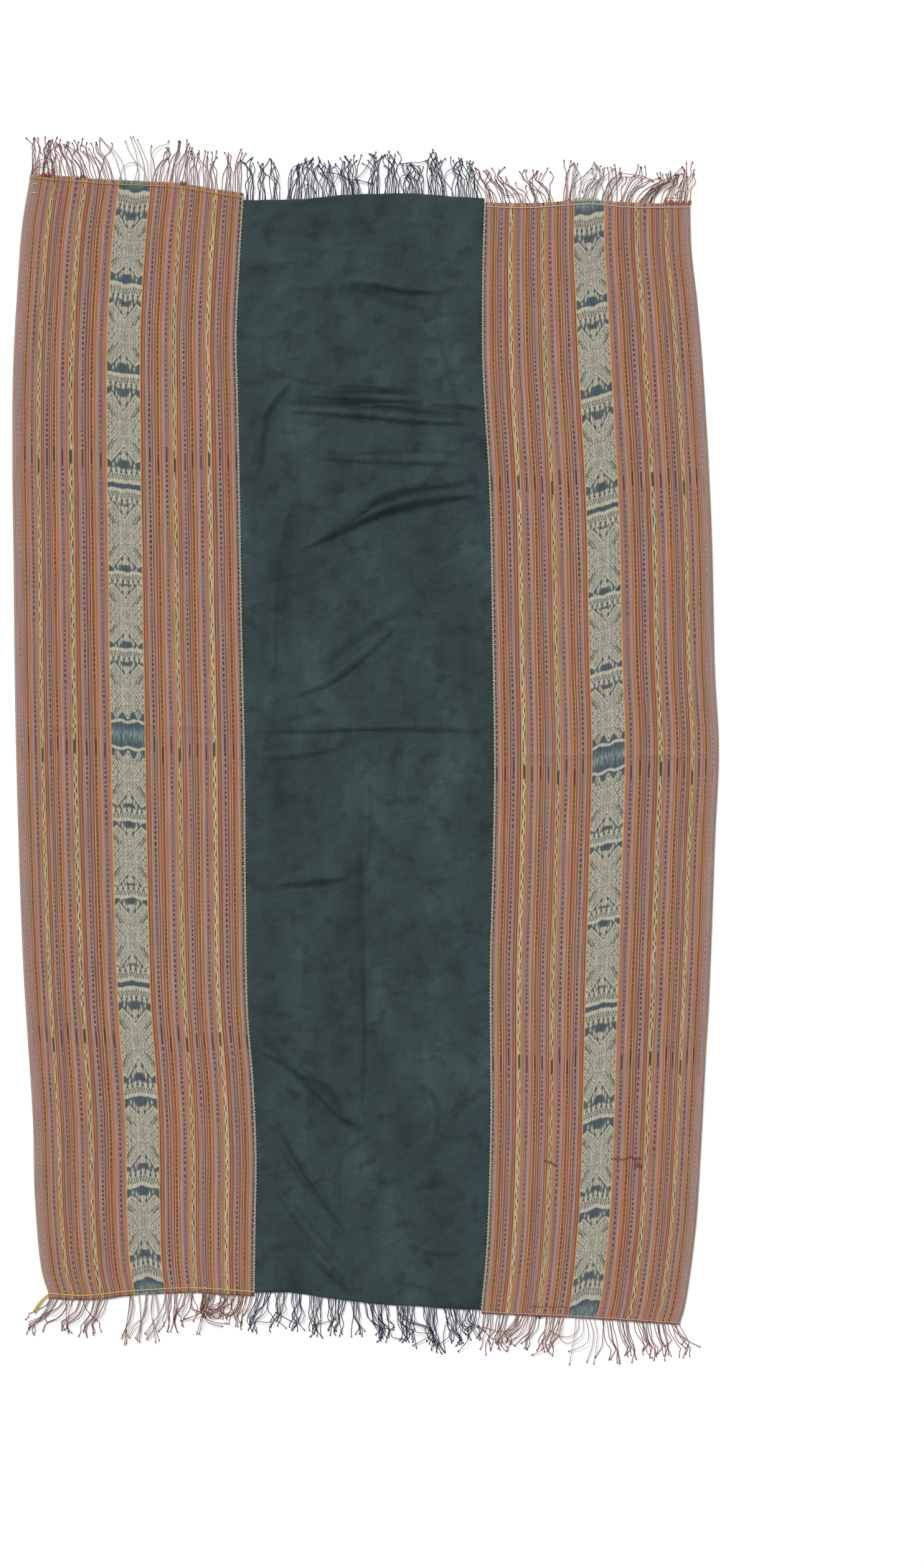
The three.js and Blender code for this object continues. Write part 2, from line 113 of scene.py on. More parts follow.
# %% Table and studio light
SKY_STRENGTH = 0.5
LAMP_STRENGTH = 2.45
LAMP_SPREAD_DEGREES = 24
LAMP_TOWARDS = (-0.55, 1.0, 0.95)
TABLE_COLOUR = "#f4f4f3"
TABLE_GLOW = 0.16
TABLE_SIZE = 9000
TABLE_DROP = 0.2


def mesh_object(name, points, faces, material, smooth=True):
    """A mesh object from points in millimetres and faces as lists of point numbers"""
    mesh = bpy.data.meshes.new(name)
    mesh.from_pydata((np.asarray(points) * MM).tolist(), [], faces)
    mesh.polygons.foreach_set("use_smooth", np.full(len(mesh.polygons), smooth))
    mesh.materials.append(material)
    mesh.update()
    made = bpy.data.objects.new(name, mesh)
    scene.collection.objects.link(made)
    return made


def table_paper():
    """Matt white paper over a lit table: an even ground with no gloss"""
    material = new_material("matt white table paper")
    shader = add(material, "BsdfPrincipled", {
        "Base Color": linear(TABLE_COLOUR),
        "Roughness": 0.95,
        "Specular IOR Level": 0.1,
        "Emission Color": (1, 1, 1, 1),
        "Emission Strength": TABLE_GLOW,
    })
    add(material, "OutputMaterial", {"Surface": shader})
    return material


corner = TABLE_SIZE / 2
table_points = [(-corner, -corner, -TABLE_DROP), (corner, -corner, -TABLE_DROP),
                (corner, corner, -TABLE_DROP), (-corner, corner, -TABLE_DROP)]
table = mesh_object("table", table_points, [[0, 1, 2, 3]], table_paper(), smooth=False)

sky = bpy.data.worlds.new("white room")
sky.use_nodes = True
sky.node_tree.nodes["Background"].inputs["Color"].default_value = (1, 1, 1, 1)
sky.node_tree.nodes["Background"].inputs["Strength"].default_value = SKY_STRENGTH
scene.world = sky

lamp_data = bpy.data.lights.new("far soft lamp", "SUN")
lamp_data.angle = np.radians(LAMP_SPREAD_DEGREES)
lamp_data.energy = LAMP_STRENGTH
lamp = bpy.data.objects.new("far soft lamp", lamp_data)
lamp.rotation_euler = Vector(LAMP_TOWARDS).to_track_quat("Z", "Y").to_euler()
scene.collection.objects.link(lamp)
print("table, sky and one lamp placed")

# %% [markdown]
# The outline of a handwoven cloth is never straight. Its two selvedges, two seams and six ends are smooth
# lines through a few given points. They are Catmull-Rom curves, which pass through every point, and they
# are the same points as in the frame.

# %% Outline of the cloth
LONG_LINES = {
    "left selvedge": [
        (-509, -877), (-520, -840), (-531, -720), (-534, -600), (-549, -360), (-558, -120),
        (-563, 100), (-565, 300), (-567, 450), (-566, 600), (-560, 720), (-551, 840), (-539, 914),
    ],
    "left seam": [
        (-178, -874), (-177, -780), (-175, -660), (-180, -540), (-189, -420), (-192, -240),
        (-194, 0), (-198, 180), (-202, 420), (-205, 570), (-207, 660), (-202, 780), (-196, 882),
    ],
    "right seam": [
        (186, -900), (192, -840), (196, -780), (201, -600), (200, -360), (204, -210), (207, -40),
        (204, 180), (199, 420), (192, 540), (188, 620), (188, 760), (191, 874),
    ],
    "right selvedge": [
        (505, -922), (512, -900), (529, -780), (534, -720), (547, -480), (552, -390), (561, -150),
        (567, 0), (561, 120), (555, 360), (542, 600), (532, 720), (523, 800), (521, 867),
    ],
}
END_LINES = {
    "left top": [(-539, 914), (-407, 904), (-307, 899), (-196, 882)],
    "centre top": [(-196, 873), (-120, 873), (-37, 880), (60, 883), (191, 875)],
    "right top": [(191, 868), (260, 866), (365, 872), (420, 867), (521, 867)],
    "left bottom": [(-509, -877), (-450, -880), (-380, -873), (-280, -868), (-178, -874)],
    "centre bottom": [(-178, -869), (-120, -870), (-7, -885), (90, -892), (186, -898)],
    "right bottom": [(186, -906), (290, -911), (400, -917), (505, -924)],
}


def walked_along(line):
    """The distance walked along a line of points, at each of them"""
    return np.concatenate([[0], np.cumsum(np.linalg.norm(np.diff(line, axis=0), axis=1))])


def smooth_line(points, step):
    """Evenly spaced points on a centripetal Catmull-Rom curve through given points.

    Between two points, the curve blends the straight lines to their neighbours. The blend runs on a
    clock that ticks with the square root of the distance, so that short spans stay free of loops.
    """
    placed = np.asarray(points, float)
    placed = np.vstack([2 * placed[0] - placed[1], placed, 2 * placed[-1] - placed[-2]])
    ticks = np.sqrt(np.linalg.norm(np.diff(placed, axis=0), axis=1))
    clock = np.concatenate([[0], np.cumsum(ticks)])
    time = np.concatenate([np.linspace(a, b, 24, endpoint=False) for a, b in zip(clock[1:-2], clock[2:-1])])
    time = np.append(time, clock[-2])
    span = np.clip(np.searchsorted(clock, time, side="right") - 1, 1, len(clock) - 3)
    t = [clock[span + k][:, None] for k in (-1, 0, 1, 2)]
    p = [placed[span + k] for k in (-1, 0, 1, 2)]
    now = time[:, None]

    def blend(a, b, start, stop):
        return (a * (stop - now) + b * (now - start)) / (stop - start)

    first = blend(blend(p[0], p[1], t[0], t[1]), blend(p[1], p[2], t[1], t[2]), t[0], t[2])
    second = blend(blend(p[1], p[2], t[1], t[2]), blend(p[2], p[3], t[2], t[3]), t[1], t[3])
    curve = blend(first, second, t[1], t[2])
    walked = walked_along(curve)
    even = np.linspace(0, walked[-1], max(2, round(walked[-1] / step)) + 1)
    return np.column_stack([np.interp(even, walked, curve[:, k]) for k in range(curve.shape[1])])


def along(line, share):
    """The points at given shares of an evenly spaced line"""
    places = np.linspace(0, 1, len(line))
    return np.column_stack([np.interp(share, places, line[:, k]) for k in range(line.shape[1])])


OUTLINE_STEP = 4
long_lines = {name: smooth_line(points, OUTLINE_STEP) for name, points in LONG_LINES.items()}
end_lines = {name: smooth_line(points, OUTLINE_STEP) for name, points in END_LINES.items()}
print("outline lines:", len(long_lines) + len(end_lines))

# %% [markdown]
# Each panel is a sheet stretched between two long lines and two ends. A Coons patch does this: it adds the
# sheet between the long lines to the sheet between the ends, and takes away the sheet between the
# corners. Past its end thread the cloth runs on for a few millimetres, which is the heading.

# %% Panels as patches
HALF_GAP = 0.15
PANELS = {
    "left": {"lines": ("left selvedge", "left seam"), "inset": (0, HALF_GAP), "heading": (8, 7)},
    "centre": {"lines": ("left seam", "right seam"), "inset": (HALF_GAP, HALF_GAP), "heading": (6, 6)},
    "right": {"lines": ("right seam", "right selvedge"), "inset": (HALF_GAP, 0), "heading": (3, 7)},
}


def heading_depth(share, depth, seed):
    """How far the cloth runs past its end line: a depth that wavers by a tenth or so, like a cut end"""
    wave = np.sin(share * 23 + seed) + 0.6 * np.sin(share * 61 + 2 * seed)
    return depth * (1 + 0.07 * wave)


def panel_patch(name, across, up):
    """Points (x, y) of a panel at shares across and up it, as a Coons patch between its four lines"""
    panel = PANELS[name]
    low, high = (along(end_lines[f"{name} {place}"], across) for place in ("bottom", "top"))
    low[:, 1] -= heading_depth(across, panel["heading"][0], 1)
    high[:, 1] += heading_depth(across, panel["heading"][1], 4)
    sides = []
    for line_name, inset, end in zip(panel["lines"], panel["inset"], (0, -1)):
        line = long_lines[line_name]
        y = low[end, 1] + (high[end, 1] - low[end, 1]) * up
        inwards = 1 if end == 0 else -1
        sides.append(np.column_stack([np.interp(y, line[:, 1], line[:, 0]) + inwards * inset, y]))
    left, right = sides
    for line, row in ((low, 0), (high, -1)):
        move_left = left[row, 0] - line[0, 0]
        move_right = right[row, 0] - line[-1, 0]
        line[:, 0] += move_left * (1 - across) + move_right * across
    u, v = across[None, :, None], up[:, None, None]
    ruled = (1 - v) * low[None] + v * high[None] + (1 - u) * left[:, None] + u * right[:, None]
    corners = (1 - v) * ((1 - u) * low[0] + u * low[-1]) + v * ((1 - u) * high[0] + u * high[-1])
    return ruled - corners


# %% [markdown]
# The cloth has been folded away for years, and it lies in shallow ridges where its old folds were. Each is a
# leaf-shaped swelling along a given crest. It is highest in its middle, runs out to nothing at its
# ends, and has a rounded section. The ridges are those of the frame. Softer ripples between them keep
# the rest from being dead flat. Here and below, what was placed one by one stands in short tables, and
# one small function gives their rows the names of their columns.


# %% Old folds
def table(columns, rows):
    """Rows of a table as dictionaries, keyed by the names of its columns"""
    return [dict(zip(columns.split(", "), row)) for row in rows]


CLOTH_THICKNESS = 1.5
SIDE_RIPPLE = (130, 1.3)
CENTRE_RIPPLE = (105, 3.0)
CENTRE_FOLD_SHARE = 1.3
FOLD_COLUMNS = "crest, width, height"
FOLDS = {
    "left": table(FOLD_COLUMNS, [
        ([(-545, 32), (-480, 34), (-400, 30)], 18, 1.6),
        ([(-330, 36), (-270, 32), (-215, 30)], 18, 1.8),
        ([(-538, 600), (-530, 740), (-508, 866)], 30, 3),
        ([(-498, -300), (-492, -560), (-478, -820)], 40, 2.4),
        ([(-232, -440), (-222, -560), (-216, -700)], 30, 2.4),
        ([(-372, -700), (-366, -780), (-352, -850)], 34, 2.2),
        ([(-240, 780), (-233, 700), (-238, 600)], 26, 2.2),
    ]),
    "centre": table(FOLD_COLUMNS, [
        ([(-150, 804), (-60, 800), (40, 794), (150, 784)], 24, 0.8),
        ([(-127, 737), (-7, 742), (140, 727)], 26, 2.2),
        ([(-131, 598), (-100, 594), (-70, 584)], 20, 2.4),
        ([(102, 553), (150, 550), (186, 543)], 20, 2.6),
        ([(3, 382), (45, 402), (158, 411), (188, 424)], 18, 2.6),
        ([(-100, 566), (0, 563), (90, 556)], 24, 5.5),
        ([(-128, 542), (-20, 536), (80, 527), (172, 520)], 24, 5),
        ([(-118, 590), (-160, 540), (-172, 440)], 26, 3.4),
        ([(-90, 466), (20, 462), (90, 458), (165, 456)], 20, 2.6),
        ([(186, 408), (120, 400), (30, 382), (-40, 350), (-104, 318)], 30, 6),
        ([(-118, 400), (-142, 320), (-152, 190), (-146, 120)], 34, 4),
        ([(-126, 80), (-60, 108), (20, 172), (56, 204)], 30, 3.6),
        ([(-178, 26), (-90, 28), (10, 33), (110, 30), (190, 26)], 18, 3.2),
        ([(-184, -14), (-110, -12), (-40, 2)], 20, 2.4),
        ([(4, -60), (2, -140), (0, -196)], 20, 2.4),
        ([(-140, -218), (-80, -213), (-24, -207)], 24, 3.8),
        ([(-6, -250), (-8, -370), (-6, -480), (-10, -590)], 18, 3),
        ([(-172, -484), (-128, -504), (-72, -554), (-28, -604)], 28, 5),
        ([(-158, -578), (-126, -646), (-88, -700), (-36, -772)], 26, 3.6),
        ([(-150, -700), (-112, -748), (-60, -814), (-16, -868)], 28, 4),
        ([(84, -520), (110, -590), (100, -650)], 26, 2.8),
        ([(60, -794), (110, -806), (150, -812)], 24, 2.4),
    ]),
    "right": table(FOLD_COLUMNS, [
        ([(222, -10), (300, -12), (380, -11)], 18, 1.6),
        ([(420, -13), (480, -12), (545, -14)], 18, 1.8),
        ([(476, 830), (490, 740), (506, 660)], 30, 3),
        ([(226, 520), (214, 600), (212, 690)], 26, 2.4),
        ([(436, 600), (448, 500), (458, 380)], 36, 2.4),
        ([(528, -300), (522, -460), (508, -620)], 38, 2.6),
        ([(264, -640), (258, -740), (244, -850)], 34, 2.2),
    ]),
}


def near_line(x, y, line):
    """For each point, its distance from a line and the share of the line where it is nearest"""
    best = np.full(x.shape, np.inf)
    where = np.zeros(x.shape)
    spans = len(line) - 1
    for i in range(spans):
        (ax, ay), (bx, by) = line[i], line[i + 1]
        length = (bx - ax) ** 2 + (by - ay) ** 2
        t = np.clip(((x - ax) * (bx - ax) + (y - ay) * (by - ay)) / length, 0, 1)
        far = np.hypot(x - ax - t * (bx - ax), y - ay - t * (by - ay))
        nearer = far < best
        best = np.where(nearer, far, best)
        where = np.where(nearer, (i + t) / spans, where)
    return best, where


def in_reach(x, y, line, reach):
    """Which points lie in the box round a line, widened by a reach"""
    inside = (x > line[:, 0].min() - reach) & (x < line[:, 0].max() + reach)
    return inside & (y > line[:, 1].min() - reach) & (y < line[:, 1].max() + reach)


def fold_height(name, x, y):
    """Height of a panel's folds: each is its height, times the root of a sine along its crest, times a
    bell of cosine shape across it"""
    height = np.zeros(x.shape)
    for fold in FOLDS[name]:
        line = smooth_line(fold["crest"], 12)
        reach = fold["width"] / 2
        inside = in_reach(x, y, line, reach)
        far, share = near_line(x[inside], y[inside], line)
        swell = np.sqrt(np.sin(np.pi * share))
        half = reach * np.maximum(swell, 0.05)
        bell = 0.5 + 0.5 * np.cos(np.pi * np.clip(far / half, 0, 1))
        height[inside] = np.maximum(height[inside], fold["height"] * swell * bell)
    return height


def ripple(x, y, wave_and_height):
    """A gentle unevenness of the sheet: four crossing sine waves of like length, never below nothing"""
    size, height = wave_and_height
    angles = np.array([0.3, 1.4, 2.2, 2.9])
    lengths = size * np.array([1.0, 1.35, 0.8, 1.7])
    waves = [
        np.sin(2 * np.pi * (x * np.cos(a) + y * np.sin(a)) / wave + 5 * a)
        for a, wave in zip(angles, lengths)
    ]
    return height * (0.5 + 0.5 * np.mean(waves, axis=0))


def side_lift(name, x, y):
    """How far a side panel is lifted off the table, by its folds and its ripples"""
    return fold_height(name, x, y) + ripple(x, y, SIDE_RIPPLE)


# %% [markdown]
# A sheet with real thickness is a closed shell: a fine face on top, where all the detail shows, a coarser
# one below, and a narrow rim that joins them. The points below are some of the points of the top, moved
# down by the thickness, so the rim's faces have a few corners above and two below. The same trick joins
# fine columns to coarse ones on top, so that only the part with a fine pattern has small faces.

# %% Closed sheet
TOP_WIDTH = 0.41
UNDER_WIDTH = 0.07


def rim_faces(lower, upper, skip):
    """Faces between a coarse lower row of points and a fine upper one, seen from outside left to right"""
    starts = np.arange(len(lower) - 1)
    chain = np.array([upper[starts * skip + k] for k in range(skip, -1, -1)]).T
    return np.column_stack([lower[:-1], lower[1:], chain])


def quad_faces(numbers):
    """The square faces of a grid of point numbers, rows going up and columns going right"""
    corners = [numbers[:-1, :-1], numbers[:-1, 1:], numbers[1:, 1:], numbers[1:, :-1]]
    return np.stack(corners, -1).reshape(-1, 4)


def step_faces(coarse_side, fine_side, skip):
    """Faces between a coarse column of points and a fine one to its right, each with one side divided"""
    return rim_faces(coarse_side[::-1], fine_side[::-1], skip)


def sheet_faces(number, fine, skip):
    """Top faces of a grid of point numbers: squares as fine as the rows in the columns from fine[0] to
    fine[1], coarser ones beside them, and faces with one divided side where the two meet"""
    first, last = fine
    groups = [quad_faces(number[:, first : last + 1])]
    if first > 0:
        groups.append(quad_faces(number[::skip, :first]))
        groups.append(step_faces(number[::skip, first - 1], number[:, first], skip))
    if last < number.shape[1] - 1:
        groups.append(quad_faces(number[::skip, last + 1 :]))
        groups.append(step_faces(number[::-skip, last + 1], number[::-1, last], skip))
    return groups


def corner_numbers(mesh):
    """The point number of each face corner"""
    numbers = np.empty(len(mesh.loops), np.int32)
    mesh.loops.foreach_get("vertex_index", numbers)
    return numbers


def keep_map(mesh, name, values):
    """Keep a map, with two values at each face corner"""
    mesh.uv_layers.new(name=name).data.foreach_set("uv", values.astype(np.float32).ravel())


def bake_places(across, up, sizes, is_under):
    """Places in a baked picture for the face corners at shares across and up the sheet. The lower half of
    the sheet lies beside the upper one, so that the picture is twice as fine, and the underside, which
    needs less, has a narrow strip beside the top."""
    face_of = np.repeat(np.arange(len(sizes)), sizes)
    half = (np.bincount(face_of, up) / sizes > 0.5)[face_of]
    height = np.where(half, 2 * up - 1, 2 * up)
    from_left = np.where(is_under[face_of], TOP_WIDTH + 0.01, 0.005) + 0.5 * half
    width = np.where(is_under[face_of], UNDER_WIDTH, TOP_WIDTH)
    return np.column_stack([from_left + width * across, 0.002 + 0.996 * height])


def closed_sheet(name, top, skips, material, fields, weave, fine=None):
    """A closed sheet over a grid of top points. The columns named by "fine" keep every row, and the others
    every so many. "fields" are values kept at each point for the shader, and "weave" is the map (across,
    along) that the pattern follows. A second map is for baking."""
    rows, columns = top.shape[:2]
    fine_skip, row_skip, column_skip = skips
    fine = fine or (0, columns - 1)
    used = np.zeros((rows, columns), bool)
    used[::fine_skip] = True
    used[:, fine[0] : fine[1] + 1] = True
    number = np.full((rows, columns), -1)
    number[used] = np.arange(used.sum())
    edge = number[::fine_skip]
    under = (slice(None, None, fine_skip * row_skip), slice(None, None, column_skip))
    below = used.sum() + np.arange(number[under].size).reshape(number[under].shape)
    points = np.vstack([top[used], top[under].reshape(-1, 3) - [0, 0, CLOTH_THICKNESS]])
    top_groups = sheet_faces(number, fine, fine_skip)
    under_quads = quad_faces(below)[:, ::-1]
    side_skips = [fine_skip * row_skip if fine[0] == 0 else row_skip,
                  fine_skip * row_skip if fine[1] == columns - 1 else row_skip]
    sides = [number if skip > row_skip else edge for skip in side_skips]
    rims = [
        rim_faces(below[0], number[0], column_skip),
        rim_faces(below[-1][::-1], number[-1][::-1], column_skip),
        rim_faces(below[::-1, 0], sides[0][::-1, 0], side_skips[0]),
        rim_faces(below[:, -1], sides[1][:, -1], side_skips[1]),
    ]
    groups = [*top_groups, under_quads, *rims]
    made = mesh_object(name, points, [face for group in groups for face in group.tolist()], material)
    mesh = made.data
    places = np.arange(rows * columns).reshape(rows, columns)
    source = np.concatenate([places[used], places[under].ravel()])
    for field, values in fields.items():
        kept = mesh.attributes.new(field, "FLOAT", "POINT")
        kept.data.foreach_set("value", values.ravel()[source].astype(np.float32))
    at = source[corner_numbers(mesh)]
    across = (at % columns) / (columns - 1)
    up = (at // columns) / (rows - 1)
    sizes = np.concatenate([np.full(len(group), group.shape[1]) for group in groups])
    is_under = np.concatenate([np.full(len(group), group is under_quads) for group in groups])
    keep_map(mesh, "Weave", weave.reshape(-1, 2)[at])
    keep_map(mesh, "OFBake", bake_places(across, up, sizes, is_under))
    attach(made, "root")
    print(f"{name}: {sum(len(group) * (group.shape[1] - 2) for group in groups)} triangles")
    return made


# %% [markdown]
# The side panels are warp-faced: the stripes are warp yarns, dyed before weaving and counted onto the loom
# in a fixed order. The order repeats between two zigzag stripes, so it is charted once, as widths in
# millimetres, and laid across the panel as many times as the weaver did. The map below gives each place
# across the panel its place in the order, in half repeats: whole even numbers are zigzag stripes.

# %% Order of the warp
PANEL_WIDTH = 368
PANEL_LENGTH = 1795
HALF_REPEAT = 28.4
WARP_PLACES = table("mm, order", [
    (0, 0.2), (19.5, 1), (42.6, 2), (66, 3), (94.4, 4), (127, 5), (154, 5.9), (207, 8.1), (235, 9),
    (263, 10), (291, 11), (319, 12), (349, 13), (368, 13.68),
])
BAND = {"from": 154, "to": 207}
BAND_MIDDLE = (BAND["from"] + BAND["to"]) / 2
YARNS = {
    "off-white": "#b0aa97",
    "ochre": "#b58b52",
    "brown": "#70493c",
    "orange": "#a9694e",
    "plum brown": "#855f50",
    "pale tan": "#9f8274",
    "sage": "#8d8073",
    "plum": "#543a36",
    "mauve": "#a0786f",
    "grey": "#968378",
    "rose": "#ab6f5d",
    "oxblood": "#80463e",
    "straw": "#a5855a",
    "olive": "#604a3a",
    "rust": "#a56753",
    "rose tan": "#a37f71",
    "purple": "#906c65",
    "tan": "#a06c4e",
}
WARP_REPEAT = table("mm, yarn, dash", [
    (2.3, "off-white"), (2.4, "ochre"), (1.4, "brown"), (2.1, "orange"), (2.4, "plum brown"),
    (1.8, "pale tan"), (1.5, "sage"), (1.0, "mauve"), (2.6, "plum", "pale tan"), (1.0, "mauve"),
    (1.2, "sage"), (1.4, "brown"), (1.4, "grey"), (1.4, "rose"), (1.4, "oxblood"), (1.6, "straw"),
    (0.6, "brown"), (2.2, "olive", "tan"), (0.6, "brown"), (1.5, "ochre"), (3.0, "rust"),
    (2.3, "rose tan"), (2.3, "grey"), (0.9, "plum brown"), (0.7, "mauve"), (2.4, "plum", "grey"),
    (0.7, "mauve"), (2.2, "purple"), (1.8, "rose tan"), (2.3, "tan"), (2.3, "ochre"), (2.3, "off-white"),
])


def warp_order(mm):
    """Place in the warp order at a distance from the outer edge of a side panel, straight between marks"""
    return np.interp(mm, [mark["mm"] for mark in WARP_PLACES], [mark["order"] for mark in WARP_PLACES])


print("one repeat of the warp:", round(sum(stripe["mm"] for stripe in WARP_REPEAT), 1), "mm")

# %% [markdown]
# The wide band in each side panel is warp ikat: its yarns were tied and dyed in indigo before weaving, so the
# figures are off-white where the ties kept the dye out. The design is a traditional one of crossed arms
# with hooks, between rows of small standing figures. It is mirrored about the middle of the cloth,
# because the warp was folded in two when it was tied. The figures are worked out here as a distance in
# millimetres to the nearest edge of off-white, less than nothing inside it. The shader cuts it at
# nothing, with the feathered edge that slipping yarns give.

# %% Ikat figures
CROSSES = table("middle, near, far", [
    (61.5, 54, 54), (193.5, 48.5, 48.5), (319.5, 51.5, 52.5), (489.7, 52.7, 58.3), (640, 48, 52),
    (780, 45, 50),
])
ROWS_OF_FIGURES = table("line, tips", [
    (137, 117.5), (260, 241.5), (393, 371), (405.5, 428), (578, 556), (722.5, 697), (869, 838),
])
FIRST_LINE = 21.7
ROUNDED_ENDS = {"from line": 31, "depth": 5.5, "apart": 17.7}
CROSS_REACH = 54
HOOKS = [(6, 18.5), (13, 29.5), (20, 41)]
HOOK_GAPS = [(14.5, 21.5), (21.5, 33)]
SLIVERS = [(8.0, 46, 1.2, 4.2), (11.2, 52, 1.2, 4.6), (17.0, 58.5, 1.2, 3.2)]
NET_PITCH = 4.2
FIGURE_HEIGHT = 20
FIGURE_OUTLINE = {
    "up": [11, 13, 14.5, 16.5, 18.5, 20],
    "half width": [4.3, 2.7, 1.5, 2.9, 2.6, 1.6],
}


def spiral(x, y, radius, pitch):
    """Distance to a dark spiral line: the radius less a step that grows with the angle, folded by its
    pitch"""
    far = np.hypot(x, y)
    turned = np.arctan2(y, x) / (2 * np.pi) * pitch
    line = np.abs((far - turned) % pitch - pitch / 2) - 0.72
    return np.maximum(line, far - radius)


def ellipse(x, y, across, up):
    """Rough distance to an ellipse's edge"""
    return (np.hypot(x / across, y / up) - 1) * min(across, up)


def small_diamonds(x, y):
    """Dark lines and cores of a net of small diamonds, 4.8 mm apart across and 7.4 mm up"""
    one = (x / 4.8 + y / 7.4) / 2 + 0.5
    other = (x / 4.8 - y / 7.4) / 2 + 0.5
    ring = np.maximum(np.abs(one % 1 - 0.5), np.abs(other % 1 - 0.5))
    return np.minimum((0.4 - ring) * 8, (ring - 0.15) * 8)


def cross_figure(x, y):
    """One crossed-arms figure about (0, 0), for x and y in millimetres, the same in its four quarters.

    Off-white is what lies under the arms' outer line, y = 27 + 1.38 x, up to a cap at the tip. Dark
    lines are cut into it: one inside each edge of an arm, three hooks in each arm, small diamonds
    between the arms at each side, and a ringed diamond in the middle."""
    ax, ay = np.abs(x), np.abs(y)
    outer = (ay - 27 - 1.38 * ax) / 1.7
    cap = (ay - CROSS_REACH + 0.7 * (ax - 19.5)) / 1.22
    white = np.maximum(outer, cap)
    inner = (ay - 1.7 * ax + 7) / 1.97
    in_arm = np.maximum(-inner + 1.2, outer + 2.6)
    hooks = np.min([spiral(ax - hx, ay - hy, 6.6, 3.4) for hx, hy in HOOKS], axis=0)
    gaps = np.min([ellipse(ax - gx, ay - gy, 1.6, 2.6) for gx, gy in HOOK_GAPS], axis=0)
    ring = ax / 4.6 + ay / 8.4
    dark = [
        np.maximum(np.abs(outer + 3.2) - 0.62, 3 - ax),
        np.maximum(np.abs(inner - 1.7) - 0.62, 7 - ay),
        np.maximum(np.abs(inner + 1.7) - 0.62, 4 - ax),
        np.maximum(np.abs(inner + 1.4) - 1.4, 17 - ax),
        np.maximum(hooks, in_arm),
        np.maximum(gaps, in_arm - 1),
        np.maximum(small_diamonds(ax - 10.5, ay), inner + 2.6),
        np.abs(ring - 1.1) * 4 - 0.62,
        np.abs(ring - 0.58) * 4 - 0.5,
        ring * 4 - 0.7,
        np.maximum(np.abs(ay - 17 + 2.1 * ax) / 2.3 - 0.6, ax - 6),
    ]
    body = np.maximum(white, -np.min(dark, axis=0))
    ring_drop = np.maximum(ellipse(ax, ay - 36, 3.5, 5), -ellipse(ax, ay - 36, 1.0, 2.2))
    blossom = np.minimum(ellipse(ax - 2.4, ay - 45, 2.9, 4.2), ellipse(ax, ay - 43, 3.6, 3.2))
    blossom = np.maximum(blossom, -ellipse(ax - 1.9, ay - 44.5, 0.7, 1.2))
    slivers = [ellipse(ax - sx, ay - sy, half, tall) for sx, sy, half, tall in SLIVERS]
    return np.minimum.reduce([body, ring_drop, blossom, *slivers])


def diamond(x, y, across, up):
    """Rough distance to the edge of a diamond: |x| / across + |y| / up - 1, in millimetres"""
    return (np.abs(x) / across + np.abs(y) / up - 1) * min(across, up)


def row_of_figures(x, up):
    """A row of small standing figures that hang from a line, for a height "up" above that line: two rows of
    dark diamonds, set between each other, are their bodies, and a table of half widths gives their feet"""
    low = diamond((x + NET_PITCH / 2) % NET_PITCH - NET_PITCH / 2, up - 5.2, 1.5, 3.4)
    high = diamond(x % NET_PITCH - NET_PITCH / 2, up - 9.6, 1.5, 3.4)
    offset = np.abs((x + NET_PITCH) % (2 * NET_PITCH) - NET_PITCH)
    half = np.interp(up, FIGURE_OUTLINE["up"], FIGURE_OUTLINE["half width"])
    feet = np.maximum(offset - half, up - FIGURE_HEIGHT)
    notch = np.maximum(offset - 0.8, 17.8 - up)
    return np.maximum(feet, -np.minimum.reduce([low, high, notch]))


def hand_tied(x, d):
    """Places shifted a little, as uneven tying leaves them: two sine waves across and two along"""
    across = 0.4 * np.sin(d / 5.1 + x / 7.3) + 0.28 * np.sin(d / 2.3 - x / 3.1)
    along_warp = 0.7 * np.sin(x / 4.1 + d / 13.7) + 0.4 * np.sin(x / 2.1 - d / 5.9)
    return x + across, d + along_warp


def ikat_figures(x, d):
    """Distance to the edge of off-white for a place x across the band and d from its mirror line"""
    x, d = hand_tied(x, d)
    wave = 0.9 * np.cos(2 * np.pi * x / 27)
    nearest = np.abs(d - FIRST_LINE + wave) - 2.2
    ends = np.cos(2 * np.pi * x / ROUNDED_ENDS["apart"])
    rounded_ends = ROUNDED_ENDS["from line"] - ROUNDED_ENDS["depth"] * ends
    for cross in CROSSES:
        local = d - cross["middle"]
        reach = np.where(local < 0, cross["near"], cross["far"])
        shape = cross_figure(x, local * CROSS_REACH / reach)
        nearest = np.minimum(nearest, np.maximum.reduce([shape, np.abs(local) - reach - 9, rounded_ends - d]))
    for row in ROWS_OF_FIGURES:
        scalloped = wave + 0.5 * np.cos(2 * np.pi * x / 4.1)
        line = np.abs(d - row["line"] + scalloped) - 2.0
        height = abs(row["tips"] - row["line"])
        up = (d - row["line"] + wave) * np.sign(row["tips"] - row["line"]) * FIGURE_HEIGHT / height
        figures = np.maximum(row_of_figures(x, up), -up)
        nearest = np.minimum(nearest, np.minimum(line, figures))
    return np.clip(nearest, -6, 6)


def ikat_wash(d):
    """How washed-out the blue is: most in the middle of the cloth and past the last line at its ends"""
    middle = np.exp(-((d / 9) ** 2))
    ends = np.clip((d - 874) / 12, 0, 1)
    return np.maximum(middle, 0.8 * ends)


